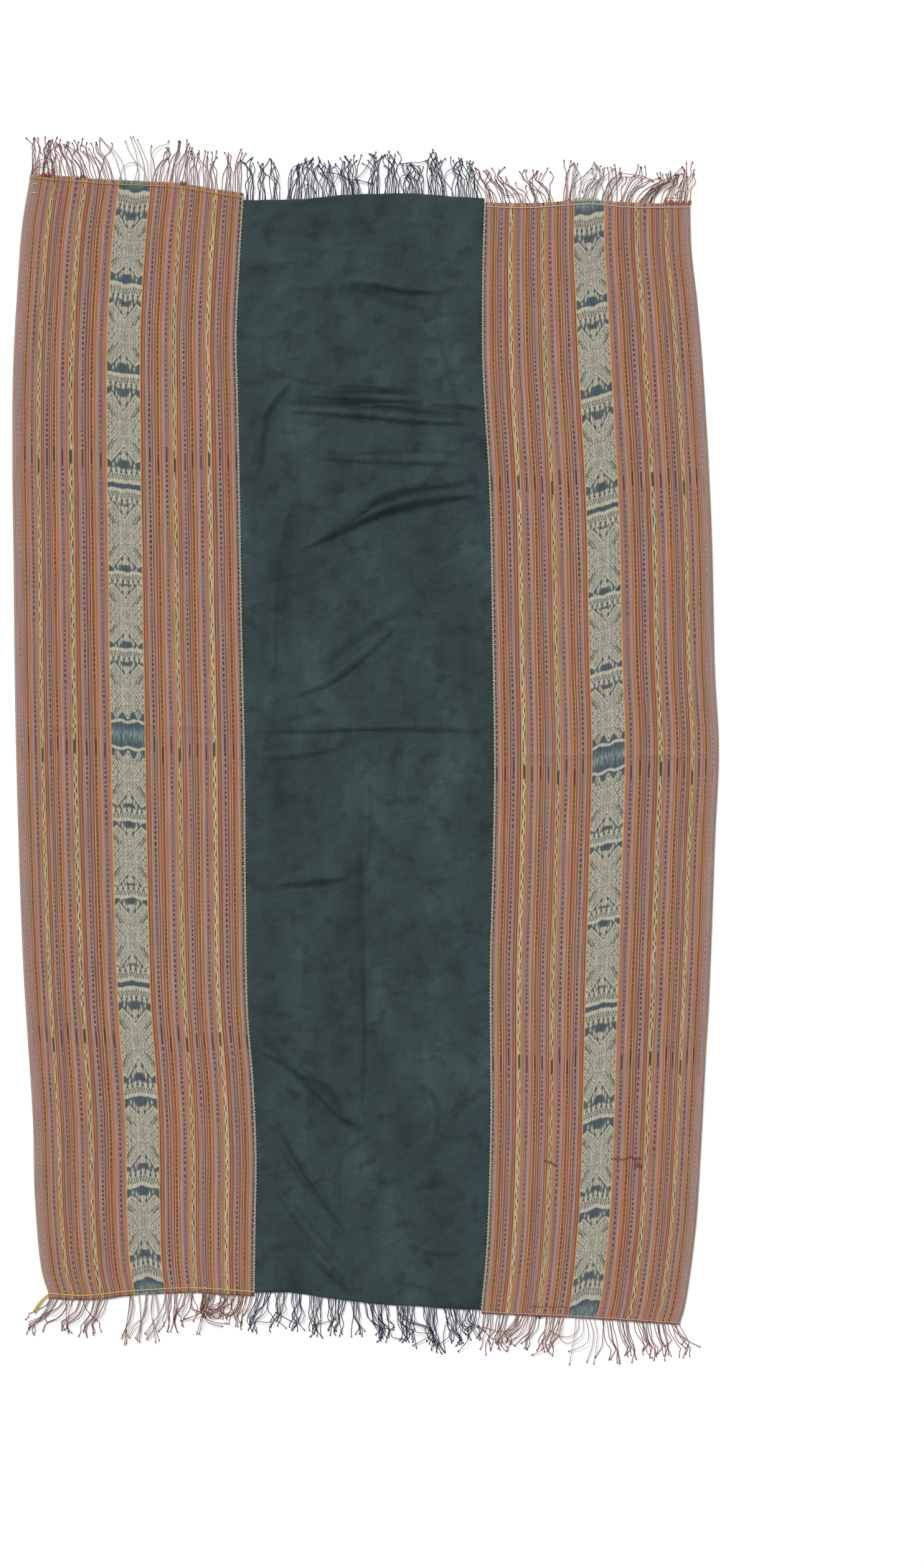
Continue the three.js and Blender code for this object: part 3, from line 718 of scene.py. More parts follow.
# %% [markdown]
# The figures don't lie square in the cloth. The yarns slipped in tying and weaving, so the pattern leans by
# an amount that changes along the panel, and its lines are bowed. Short tables give the lean and the bow.

# %% Lean of the pattern
BANDS = {
    "left": {
        "mirror": 20,
        "lean": [(850, 0.085), (745, 0.13), (410, 0.12), (280, 0.07), (155, 0.07), (40, 0.055),
                 (-3, 0.1), (-95, 0.1), (-240, 0.04), (-375, 0.04), (-500, 0), (-900, 0)],
        "bow": [(895, 5), (700, 2), (400, 0), (0, 0), (-240, -3), (-560, -5), (-700, -6), (-855, -10)],
    },
    "right": {
        "mirror": -16,
        "lean": [(860, -0.15), (710, -0.24), (560, -0.28), (370, -0.28), (240, -0.25), (120, -0.27),
                 (-45, -0.27), (-160, -0.215), (-420, -0.2), (-595, -0.23), (-740, -0.17), (-890, -0.2)],
        "bow": [(860, 3), (700, 1), (400, 0), (0, 0), (-240, -2), (-560, -4), (-700, -5), (-885, -8)],
    },
}


def down_panel(y, rows):
    """The value at a height, straight between the rows of a table that runs down the panel"""
    heights, values = zip(*rows)
    return np.interp(-y, np.negative(heights), values)


def pattern_place(name, side_sign, offset, y):
    """Distance from the mirror line, with the lean and bow of the band taken out"""
    band = BANDS[name]
    lean, bow = down_panel(y, band["lean"]), down_panel(y, band["bow"])
    half = (BAND["to"] - BAND["from"]) / 2
    return np.abs(band["mirror"] - (y + lean * offset * side_sign - bow * (offset / half) ** 2))


# %% [markdown]
# All the cotton is made from the same few things. Noise is stretched along the warp, because a yarn takes its
# dye lengthwise. A sine wave gives what comes at even distances, such as dashes, zigzags and ribs. Colours
# lie over each other in layers, and a shade makes them lighter or darker.


# %% Parts of every cloth material
def stretched(m, across, along_warp, times, seed=0.0):
    """A place for noise to read: across and along the cloth, each times its own factor"""
    scaled = [add(m, "Math", {0: value, 1: factor}, operation="MULTIPLY")
              for value, factor in zip((across, along_warp), times)]
    return add(m, "CombineXYZ", {0: scaled[0], 1: scaled[1], 2: seed})


def sine_wave(m, place, length, slip=0.0):
    """sin(2 pi place / length + slip), from -1 to 1"""
    angle = add(m, "Math", {0: place, 1: 2 * np.pi / length, 2: slip}, operation="MULTIPLY_ADD")
    return add(m, "Math", {0: angle}, operation="SINE")


def painted(m, colour, layers):
    """Layers of colour over a first one: each covers what lies below it by its share, from 0 to 1"""
    for share, paint in layers:
        colour = add(m, "Mix", {"Factor": share, "A": colour, "B": paint}, data_type="RGBA")
    return colour


def times_shade(m, colour, shade):
    """A colour made lighter or darker by a number"""
    grey = add(m, "CombineColor", {0: shade, 1: shade, 2: shade})
    return add(m, "Mix", {"Factor": 1.0, "A": colour, "B": grey}, data_type="RGBA", blend_type="MULTIPLY")


def matt_cotton(m, colour, bump, roughness, specular=0.15, sheen=0.0):
    """Finish a material with a dull surface of a colour and a bump"""
    shader = add(m, "BsdfPrincipled", {
        "Base Color": colour,
        "Roughness": roughness,
        "Specular IOR Level": specular,
        "Sheen Weight": sheen,
        "Normal": bump,
    })
    add(m, "OutputMaterial", {"Surface": shader})
    return m


# %% [markdown]
# The colour of the striped cotton is the warp order, looked up by the map and picked out of the chart by a
# colour ramp. A second ramp holds the other colour of the dashed stripes, where tied yarns show light and
# dark in turn, with a longer dark bar where the ties were opened. The dashes are a little longer than the
# real ones, which are too fine to show from the camera.

# %% Colours of the stripes
DASH_LENGTH = 8.2
DASH_FADE = 90
BAR_SPACING = 465
BAR_PLACE = 22
BAR_LENGTH = 23
BAR_SCATTER = 22
BAR_SOFTNESS = 1.5
SLIP_TURNS = 26.0
ZIGZAG_LENGTH = 24
ZIGZAG_SWING = 0.9
ZIGZAG_HALF_WIDTH = 2.15
SLASH_LENGTH = 10.5
SELVEDGE_ORDER = 0.32


def fill_ramp(ramp_node, stops, steps="CONSTANT"):
    """Put (place, colour) stops into a colour ramp, with hard steps unless told otherwise"""
    ramp = ramp_node.color_ramp
    ramp.interpolation = steps
    ramp.elements[0].position, ramp.elements[0].color = stops[0]
    ramp.elements.remove(ramp.elements[1])
    for place, colour in stops[1:]:
        ramp.elements.new(place).color = colour


def warp_stops(key):
    """The chart's stripes as ramp stops, from one zigzag stripe to the next, for one of their two colours.
    A stripe without a dash has the same colour in both."""
    total = sum(stripe["mm"] for stripe in WARP_REPEAT)
    starts = np.cumsum([0] + [stripe["mm"] for stripe in WARP_REPEAT[:-1]]) / total
    yarns = [stripe.get(key, stripe["yarn"]) for stripe in WARP_REPEAT]
    return [(place, linear(YARNS[yarn])) for place, yarn in zip(starts, yarns)]


def warp_colours(m, steady):
    """Both colours of the stripe at a place in the order, which comes round again every two half repeats"""
    half = add(m, "Math", {0: steady, 1: 0.5}, operation="MULTIPLY")
    place = add(m, "Math", {0: half}, operation="FRACT")
    ramps = [add(m, "ValToRGB", {"Fac": place}) for _ in range(2)]
    for ramp, key in zip(ramps, ("yarn", "dash")):
        fill_ramp(ramp, warp_stops(key))
    return [ramp.outputs[0] for ramp in ramps]


def tied_stripes(m, order, run):
    """For the dashed stripes: how far their ties slipped, the share of the second colour, and the bars.

    The dashes are a sine wave along the warp, moved by a slip of each stripe's own, and fainter where the
    dye crept in. A bar comes once in BAR_SPACING, at a place that changes from stripe to stripe."""
    stripe = add(m, "Math", {0: add(m, "Math", {0: order, 1: 2.0}, operation="MULTIPLY")}, operation="ROUND")
    fade_place = stretched(m, stripe, run, (3.7, 1 / DASH_FADE))
    fade = add(m, "TexNoise", {"Vector": fade_place, "Scale": 1.0, "Detail": 2.0})
    slip = add(m, "Math", {0: fade, 1: SLIP_TURNS}, operation="MULTIPLY")
    beat = sine_wave(m, run, DASH_LENGTH, slip)
    dash = add(m, "MapRange", {"Value": beat, "From Min": -0.2, "From Max": 0.95})
    seen = add(m, "MapRange", {"Value": fade, "From Min": 0.38, "From Max": 0.58, "To Min": 0.15})
    centred = add(m, "Math", {0: dash, 1: -0.5}, operation="ADD")
    beads = add(m, "Math", {0: centred, 1: seen, 2: 0.5}, operation="MULTIPLY_ADD")

    seed = add(m, "TexWhiteNoise", {"W": stripe}, noise_dimensions="1D")
    from_first = add(m, "Math", {0: run, 1: (BAR_SPACING - BAR_SCATTER) / 2 - BAR_PLACE}, operation="ADD")
    bar_run = add(m, "Math", {0: seed, 1: BAR_SCATTER, 2: from_first}, operation="MULTIPLY_ADD")
    from_bar = add(m, "Math", {0: bar_run, 1: BAR_SPACING}, operation="FLOORED_MODULO")
    signed = add(m, "Math", {0: from_bar, 1: -BAR_SPACING / 2}, operation="ADD")
    off_bar = add(m, "Math", {0: signed}, operation="ABSOLUTE")
    no_bar = add(m, "MapRange", {
        "Value": off_bar,
        "From Min": BAR_LENGTH / 2 - BAR_SOFTNESS,
        "From Max": BAR_LENGTH / 2 + BAR_SOFTNESS,
    })
    dash_share = add(m, "Math", {0: beads, 1: no_bar}, operation="MULTIPLY")
    return slip, dash_share, add(m, "Math", {0: 1.0, 1: no_bar}, operation="SUBTRACT")


def zigzag_stripe(m, steady, run, slip):
    """Where the zigzag stripes are, and how dark they are there. A pale line swings about the middle of the
    stripe with dark beside it, slashes cross it on a slant, and in places the ink is thin."""
    next_one = add(m, "Math", {0: steady, 1: 1.0}, operation="ADD")
    side = add(m, "Math", {0: next_one, 1: 2.0}, operation="FLOORED_MODULO")
    centred = add(m, "Math", {0: side, 1: -1.0}, operation="ADD")
    signed = add(m, "Math", {0: centred, 1: HALF_REPEAT}, operation="MULTIPLY")
    bend = sine_wave(m, run, ZIGZAG_LENGTH, slip)
    swing = add(m, "Math", {0: bend, 1: ZIGZAG_SWING}, operation="MULTIPLY")
    to_line = add(m, "Math", {0: signed, 1: swing}, operation="SUBTRACT")
    off_line = add(m, "Math", {0: to_line}, operation="ABSOLUTE")
    beside = add(m, "MapRange", {"Value": off_line, "From Min": 0.85, "From Max": 1.3, "To Max": 0.95})
    slant = add(m, "Math", {0: signed, 1: 2.4, 2: run}, operation="MULTIPLY_ADD")
    slashes = sine_wave(m, slant, SLASH_LENGTH, slip)
    slash = add(m, "MapRange", {"Value": slashes, "From Min": 0.65, "From Max": 0.95, "To Max": 0.4})

    from_zigzag = add(m, "Math", {0: steady, 1: 1.0}, operation="PINGPONG")
    from_middle = add(m, "Math", {0: from_zigzag, 1: HALF_REPEAT}, operation="MULTIPLY")
    in_zigzag = add(m, "Math", {0: from_middle, 1: ZIGZAG_HALF_WIDTH}, operation="LESS_THAN")
    ink_place = stretched(m, signed, run, (0.35, 1 / 9), seed=9.0)
    inked = add(m, "TexNoise", {"Vector": ink_place, "Scale": 1.0, "Detail": 1.0})
    ink = add(m, "MapRange", {"Value": inked, "From Min": 0.34, "From Max": 0.46, "To Min": 0.4})
    dark = add(m, "Math", {0: beside, 1: slash}, operation="MAXIMUM")
    dark_inside = add(m, "Math", {0: dark, 1: in_zigzag}, operation="MULTIPLY")
    return in_zigzag, add(m, "Math", {0: dark_inside, 1: ink}, operation="MULTIPLY")


def stripe_colours(m, order, run):
    """The colours of the warp with their dashes, zigzags and bars, greyer near the outer edge. The order
    wavers a little along the yarns, since no stripe is quite straight."""
    waver_place = stretched(m, order, run, (3.0, 1 / 60))
    waver = add(m, "TexNoise", {"Vector": waver_place, "Scale": 1.0, "Detail": 1.0})
    drift = add(m, "Math", {0: waver, 1: 0.06, 2: -0.03}, operation="MULTIPLY_ADD")
    steady = add(m, "Math", {0: order, 1: drift}, operation="ADD")
    ground, dashes = warp_colours(m, steady)
    slip, dash_share, in_bar = tied_stripes(m, order, run)
    in_zigzag, zigzag_dark = zigzag_stripe(m, steady, run, slip)
    two_tones = add(m, "VectorMath", {0: ground, 1: dashes}, operation="DISTANCE")
    is_dashed = add(m, "Math", {0: two_tones.outputs["Value"], 1: 0.02}, operation="GREATER_THAN")
    dashed_bar = add(m, "Math", {0: is_dashed, 1: in_bar}, operation="MULTIPLY")
    zigzag_bar = add(m, "Math", {0: in_zigzag, 1: in_bar}, operation="MULTIPLY")
    outer = add(m, "MapRange", {"Value": order, "From Min": 1.0, "From Max": 0.8, "To Max": 0.5})
    at_edge = add(m, "Math", {0: order, 1: SELVEDGE_ORDER}, operation="LESS_THAN")
    return painted(m, ground, [
        (dash_share, dashes),
        (in_zigzag, linear("#b8b2a1")),
        (zigzag_dark, linear("#45433b")),
        (dashed_bar, linear("#553c38")),
        (zigzag_bar, linear("#474c54")),
        (outer, linear("#a4877d")),
        (at_edge, linear("#9f8a7d")),
    ])


# %% [markdown]
# Every yarn took the dye a little differently, so each is a little lighter or darker, and fades along its
# length. Yarns of two tones lie in turn in each stripe, and this shows as fine lines.

# %% Shade and tint of the yarns
LINE_PITCH = 1.7
FLECK_WIDTH = 1.5
FLECK_LENGTH = 4.5
HUE_LENGTH = 55


def yarn_shade(m, run, yarn):
    """How light each yarn is, from its own seed and its fading, and the noise of the fading"""
    seed = add(m, "TexWhiteNoise", {"W": yarn}, noise_dimensions="1D")
    fading_place = stretched(m, yarn, run, (7.3, 1 / 70))
    fading = add(m, "TexNoise", {"Vector": fading_place, "Scale": 1.0, "Detail": 3.0, "Roughness": 0.7})
    uneven = add(m, "Math", {0: seed, 1: 0.32, 2: 0.84}, operation="MULTIPLY_ADD")
    faded = add(m, "Math", {0: fading, 1: 0.5, 2: 0.75}, operation="MULTIPLY_ADD")
    return add(m, "Math", {0: uneven, 1: faded}, operation="MULTIPLY"), fading


def stripe_shade(m, order, run, shade):
    """The shade of the yarns in the stripes, with fine dark lines and flecks"""
    lines = sine_wave(m, order, LINE_PITCH / HALF_REPEAT)
    lined = add(m, "MapRange", {
        "Value": lines,
        "From Min": -0.3,
        "From Max": 1.0,
        "To Min": 1.18,
        "To Max": 0.64,
    })
    fleck_place = stretched(m, order, run, (HALF_REPEAT / FLECK_WIDTH, 1 / FLECK_LENGTH))
    fleck = add(m, "TexNoise", {"Vector": fleck_place, "Scale": 1.0, "Detail": 2.0, "Roughness": 0.7})
    flecked = add(m, "Math", {0: fleck, 1: 0.5, 2: 0.75}, operation="MULTIPLY_ADD")
    shade_and_lines = add(m, "Math", {0: shade, 1: lined}, operation="MULTIPLY")
    return add(m, "Math", {0: shade_and_lines, 1: flecked}, operation="MULTIPLY")


def stripe_tint(m, order, run):
    """A tint for the stripes: warmer and cooler patches, and a hue that changes from yarn to yarn"""
    warmth_place = stretched(m, order, run, (1.1, 1 / 240))
    warmth = add(m, "TexNoise", {"Vector": warmth_place, "Scale": 1.0, "Detail": 3.0})
    share = add(m, "MapRange", {"Value": warmth, "From Min": 0.32, "From Max": 0.68})
    patches = painted(m, (1.11, 1.03, 1.04, 1), [(share, (1.03, 1.09, 1.15, 1))])
    hue_place = stretched(m, order, run, (HALF_REPEAT / LINE_PITCH, 1 / HUE_LENGTH), seed=4.0)
    hues = add(m, "TexNoise", {"Vector": hue_place, "Scale": 0.8, "Detail": 1.0})
    spread = {0: hues.outputs["Color"], 1: (0.74, 0.62, 0.68), 2: (0.63, 0.69, 0.66)}
    yarn_hues = add(m, "VectorMath", spread, operation="MULTIPLY_ADD")
    return add(m, "VectorMath", {0: patches, 1: yarn_hues}, operation="MULTIPLY")


# %% [markdown]
# In the ikat band, the shader cuts the figures out of the distance that is kept at each point. The few dark
# red stains are cut in the same way, from the distance to short listed lines. They lie on the right panel
# only.

# %% Ikat band and stains
STAIN_LINES = table("line, width", [
    ([(288, -664), (298, -667), (305, -672)], 1.6),
    ([(396, -661), (416, -662), (426, -657), (437, -667), (443, -676)], 1.3),
    ([(428, -660), (441, -661)], 1.8),
    ([(434, -672), (443, -673)], 2.4),
    ([(462, -643), (464, -646)], 1.4),
    ([(264, -898), (322, -899)], 0.5),
])


def ikat_colours(m, run, yarn, streaks, fading):
    """The ikat band: off-white figures in indigo, with edges feathered by streaks along the yarns. The blue
    is green or violet in places, washed out at the mirror line and the ends, and grey in narrow gaps."""
    figure = add(m, "Attribute", attribute_name="figure").outputs["Fac"]
    wash = add(m, "Attribute", attribute_name="wash").outputs["Fac"]
    feather = add(m, "Math", {0: streaks, 1: 1.6, 2: -0.8}, operation="MULTIPLY_ADD")
    edge = add(m, "Math", {0: figure, 1: feather}, operation="ADD")
    undyed = add(m, "MapRange", {"Value": edge, "From Min": 0.7, "From Max": -0.5})
    hue_place = stretched(m, yarn, run, (0.35, 1 / 38))
    hue = add(m, "TexNoise", {"Vector": hue_place, "Scale": 1.0, "Detail": 2.0})
    to_green = add(m, "MapRange", {"Value": hue, "From Min": 0.52, "From Max": 0.66, "To Max": 0.6})
    to_violet = add(m, "MapRange", {"Value": hue, "From Min": 0.46, "From Max": 0.34, "To Max": 0.55})
    worn = add(m, "MapRange", {"Value": streaks, "From Min": 0.4, "From Max": 0.62})
    washed = add(m, "Math", {0: wash, 1: worn}, operation="MULTIPLY")
    wide_part = add(m, "MapRange", {"Value": figure, "From Min": 0.8, "From Max": 2.2})
    blue = painted(m, linear("#364350"), [
        (streaks, linear("#58656f")),
        (to_green, linear("#557069")),
        (to_violet, linear("#525265")),
        (washed, linear("#95a39c")),
    ])
    cream = painted(m, linear("#a8a393"), [(fading, linear("#c2bdaa"))])
    return painted(m, linear("#62665f"), [(wide_part, blue), (undyed, cream)])


def stained(m, colour):
    """A colour with dark red stains: everything near enough to a few short lines, with a ragged edge"""
    object_place = add(m, "TexCoord").outputs["Object"]
    where = add(m, "VectorMath", {0: object_place, 1: (1 / MM, 1 / MM, 0)}, operation="MULTIPLY")
    ragged = add(m, "TexNoise", {"Vector": where, "Scale": 0.35, "Detail": 3.0})
    stain = 0.0
    for mark in STAIN_LINES:
        for (ax, ay), (bx, by) in zip(mark["line"], mark["line"][1:]):
            span = (bx - ax, by - ay, 0)
            per_length = tuple(np.divide(span, span[0] ** 2 + span[1] ** 2))
            from_start = add(m, "VectorMath", {0: where, 1: (ax, ay, 0)}, operation="SUBTRACT")
            share = add(m, "VectorMath", {0: from_start, 1: per_length}, operation="DOT_PRODUCT")
            held = add(m, "Clamp", {"Value": share.outputs["Value"]})
            nearest = add(m, "VectorMath", {0: span, "Scale": held}, operation="SCALE")
            far = add(m, "VectorMath", {0: from_start, 1: nearest}, operation="DISTANCE")
            rough = add(m, "Math", {0: ragged, 1: -5.0, 2: far.outputs["Value"]}, operation="MULTIPLY_ADD")
            spot = add(m, "MapRange", {
                "Value": rough,
                "From Min": mark["width"] - 1.4,
                "From Max": mark["width"] - 3.0,
                "To Max": 0.75,
            })
            stain = add(m, "Math", {0: stain, 1: spot}, operation="MAXIMUM")
    return painted(m, colour, [(stain, linear("#643530"))])


# %% [markdown]
# The striped cotton puts these together: the tinted and shaded stripes, the ikat band over them, the stains
# over both, and a bump for the ribs. The ribs are coarser than real yarn, which is too fine to show.

# %% Striped cotton
YARN_PITCH = 1.1
BAND_ORDER = 7
BAND_HALF_ORDER = 1.1


def striped_cotton():
    """Handwoven warp-faced cotton, dull and dry: fine ribs along the warp, no gloss"""
    m = new_material("striped warp-faced cotton")
    weave = add(m, "SeparateXYZ", {0: add(m, "UVMap", uv_map="Weave")})
    order, run = weave.outputs[0], weave.outputs[1]
    counted = add(m, "Math", {0: order, 1: HALF_REPEAT / YARN_PITCH}, operation="MULTIPLY")
    yarn = add(m, "Math", {0: counted}, operation="FLOOR")
    shade, fading = yarn_shade(m, run, yarn)
    colours, tint = stripe_colours(m, order, run), stripe_tint(m, order, run)
    tinted = add(m, "Mix", {"Factor": 1.0, "A": colours, "B": tint}, data_type="RGBA", blend_type="MULTIPLY")
    stripes = times_shade(m, tinted, stripe_shade(m, order, run, shade))

    streak_place = stretched(m, yarn, run, (3.7, 1 / 16))
    streaks = add(m, "TexNoise", {"Vector": streak_place, "Scale": 1.0, "Detail": 3.0, "Roughness": 0.6})
    ikat = times_shade(m, ikat_colours(m, run, yarn, streaks, fading), shade)
    to_band = add(m, "Math", {0: order, 1: -BAND_ORDER}, operation="ADD")
    from_band = add(m, "Math", {0: to_band}, operation="ABSOLUTE")
    in_band = add(m, "Math", {0: from_band, 1: BAND_HALF_ORDER}, operation="LESS_THAN")
    colour = stained(m, painted(m, stripes, [(in_band, ikat)]))

    rib = sine_wave(m, order, YARN_PITCH / HALF_REPEAT)
    pick = add(m, "TexNoise", {"Vector": streak_place, "Scale": 9.0, "Detail": 1.0})
    relief = add(m, "Math", {0: rib, 1: 0.5, 2: pick}, operation="MULTIPLY_ADD")
    bump = add(m, "Bump", {"Height": relief, "Strength": 0.5, "Distance": 0.25 * MM})
    return matt_cotton(m, colour, bump, roughness=0.92, sheen=0.06)


# %% [markdown]
# A side panel is one sheet. Its columns stand closer together in the ikat band, where the figures need them,
# and its rows run from end to end.

# %% Striped side panels
ROW_STEP = 1.26
BAND_COLUMN_STEP = 1.0
PLAIN_COLUMN_STEP = 9.5
SKIPS = (4, 2, 3)


def spread(start, stop, step):
    """Places about a step apart, without the last one"""
    count = max(1, round((stop - start) / step))
    return np.linspace(start, stop, count, endpoint=False)


def side_columns():
    """Places across a side panel from its outer edge, in millimetres, with the warp marks among them"""
    marks = [mark["mm"] for mark in WARP_PLACES]
    places = []
    for start, stop in zip(marks, marks[1:]):
        in_band = start >= BAND["from"] and stop <= BAND["to"]
        places.append(spread(start, stop, BAND_COLUMN_STEP if in_band else PLAIN_COLUMN_STEP))
    places = np.append(np.concatenate(places), marks[-1])
    extra = (-(len(places) - 1)) % SKIPS[2]
    return np.sort(np.append(places, (places[:extra] + places[1 : extra + 1]) / 2))


def whole_steps(length, step, skip):
    """A count of steps that fills a length and is a whole number of skips"""
    return round(length / step / skip) * skip


def side_panel(name, material):
    """A striped panel: a Coons patch with folds and ripples, its ikat figures kept at its points"""
    from_edge = side_columns()
    outer_first = name == "left"
    if not outer_first:
        from_edge = from_edge[::-1]
    across = from_edge / PANEL_WIDTH if outer_first else 1 - from_edge / PANEL_WIDTH
    up = np.linspace(0, 1, whole_steps(PANEL_LENGTH, ROW_STEP, SKIPS[0] * SKIPS[1]) + 1)
    flat = panel_patch(name, across, up)
    x, y = flat[..., 0], flat[..., 1]
    lift = side_lift(name, x, y)
    top = np.dstack([x, y, lift + CLOTH_THICKNESS])
    offset = np.broadcast_to(from_edge - BAND_MIDDLE, x.shape)
    place = pattern_place(name, 1 if outer_first else -1, offset, y)
    fields = {"figure": ikat_figures(offset, place), "wash": ikat_wash(place)}
    order = np.broadcast_to(warp_order(from_edge), x.shape)
    weave = np.dstack([order, BANDS[name]["mirror"] - y])
    in_band = np.flatnonzero((from_edge >= BAND["from"]) & (from_edge <= BAND["to"]))
    made = closed_sheet(f"{name}_panel_cloth", top, SKIPS, material, fields, weave,
                        fine=(in_band[0], in_band[-1]))
    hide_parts(f"{name}_panel")
    return made


striped = striped_cotton()
side_panels = {name: side_panel(name, striped) for name in ("left", "right")}

# %% [markdown]
# The centre panel is plain cotton, dyed to a dark blue-green. It is duller than the stripes, with cloudy
# patches where the dye took unevenly, darker blotches and slanting smears where it was handled, and dark
# lines in its creases that are painted shade, with marks of pressing and rubbing among them. Noise gives
# the clouds, the fleck and the yarn, each at its own size. A wide, low bump is the crumpling that is left
# from folding.

# %% Indigo cotton
BLOTCH = 34
SMEAR_LENGTH = 110
SMEAR_WIDTH = 32
SMEAR_TURN = np.radians(33)
INDIGO_STOPS = [(0.32, "#283334"), (0.5, "#364445"), (0.68, "#445657")]


def indigo_tone(m, place, across, run):
    """The vat's uneven blue: clouds, fleck and yarns, added up and looked up in a ramp of three colours"""
    cloud_place = stretched(m, across, run, (1.0, 0.45))
    clouds = add(m, "TexNoise", {"Vector": cloud_place, "Scale": 1 / 90, "Detail": 5.0, "Roughness": 0.55})
    fleck = add(m, "TexNoise", {"Vector": place, "Scale": 1 / 3.2, "Detail": 2.0, "Roughness": 0.7})
    yarn_place = stretched(m, across, run, (0.8, 0.02))
    yarns = add(m, "TexNoise", {"Vector": yarn_place, "Scale": 1.0, "Detail": 2.0})
    yarn_tone = add(m, "Math", {0: yarns, 1: 0.16}, operation="MULTIPLY")
    fine_tone = add(m, "Math", {0: fleck, 1: 0.22, 2: yarn_tone}, operation="MULTIPLY_ADD")
    tone = add(m, "Math", {0: clouds, 1: 0.62, 2: fine_tone}, operation="MULTIPLY_ADD")
    cloth = add(m, "ValToRGB", {"Fac": tone})
    fill_ramp(cloth, [(stop, linear(colour)) for stop, colour in INDIGO_STOPS], "LINEAR")
    return cloth.outputs[0]


def indigo_cotton():
    """Plain-woven cotton from the indigo vat: cloudy, dull and dry"""
    m = new_material("vat-dyed indigo cotton")
    place = add(m, "UVMap", uv_map="Weave")
    weave = add(m, "SeparateXYZ", {0: place})
    across, run = weave.outputs[0], weave.outputs[1]
    blotches = add(m, "TexNoise", {"Vector": place, "Scale": 1 / BLOTCH, "Detail": 3.0, "Roughness": 0.55})
    blotch = add(m, "MapRange", {"Value": blotches, "From Min": 0.5, "From Max": 0.66, "To Max": 0.5})
    turned = add(m, "VectorRotate", {"Vector": place, "Angle": -SMEAR_TURN}, rotation_type="Z_AXIS")
    smear_scale = (1 / SMEAR_LENGTH, 1 / SMEAR_WIDTH, 0)
    smear_place = add(m, "VectorMath", {0: turned, 1: smear_scale}, operation="MULTIPLY")
    smears = add(m, "TexNoise", {"Vector": smear_place, "Scale": 1.0, "Detail": 3.0, "Distortion": 1.2})
    smear = add(m, "MapRange", {"Value": smears, "From Min": 0.5, "From Max": 0.7, "To Max": 0.3})
    darker = add(m, "Math", {0: blotch, 1: smear}, operation="MAXIMUM")
    # The dark lines along the creases are painted shade, with marks of pressing and rubbing among them, laid
    # over the cloth as a near-black colour.
    painted_shade = add(m, "Attribute", attribute_name="painted_shade").outputs["Fac"]
    colour = painted(m, indigo_tone(m, place, across, run), [
        (darker, linear("#262b2c")),
        (painted_shade, linear("#172021")),
    ])

    crumple_place = stretched(m, across, run, (1.0, 1.5))
    crumple = add(m, "TexNoise", {"Vector": crumple_place, "Scale": 1 / 48, "Detail": 2.0, "Distortion": 0.6})
    crumpled = add(m, "Bump", {"Height": crumple, "Strength": 1.0, "Distance": 4 * MM})
    threads = add(m, "TexNoise", {"Vector": place, "Scale": 0.9, "Detail": 1.0})
    bump = add(m, "Bump", {"Height": threads, "Strength": 0.4, "Distance": 0.3 * MM, "Normal": crumpled})
    return matt_cotton(m, colour, bump, roughness=0.9, sheen=0.05)
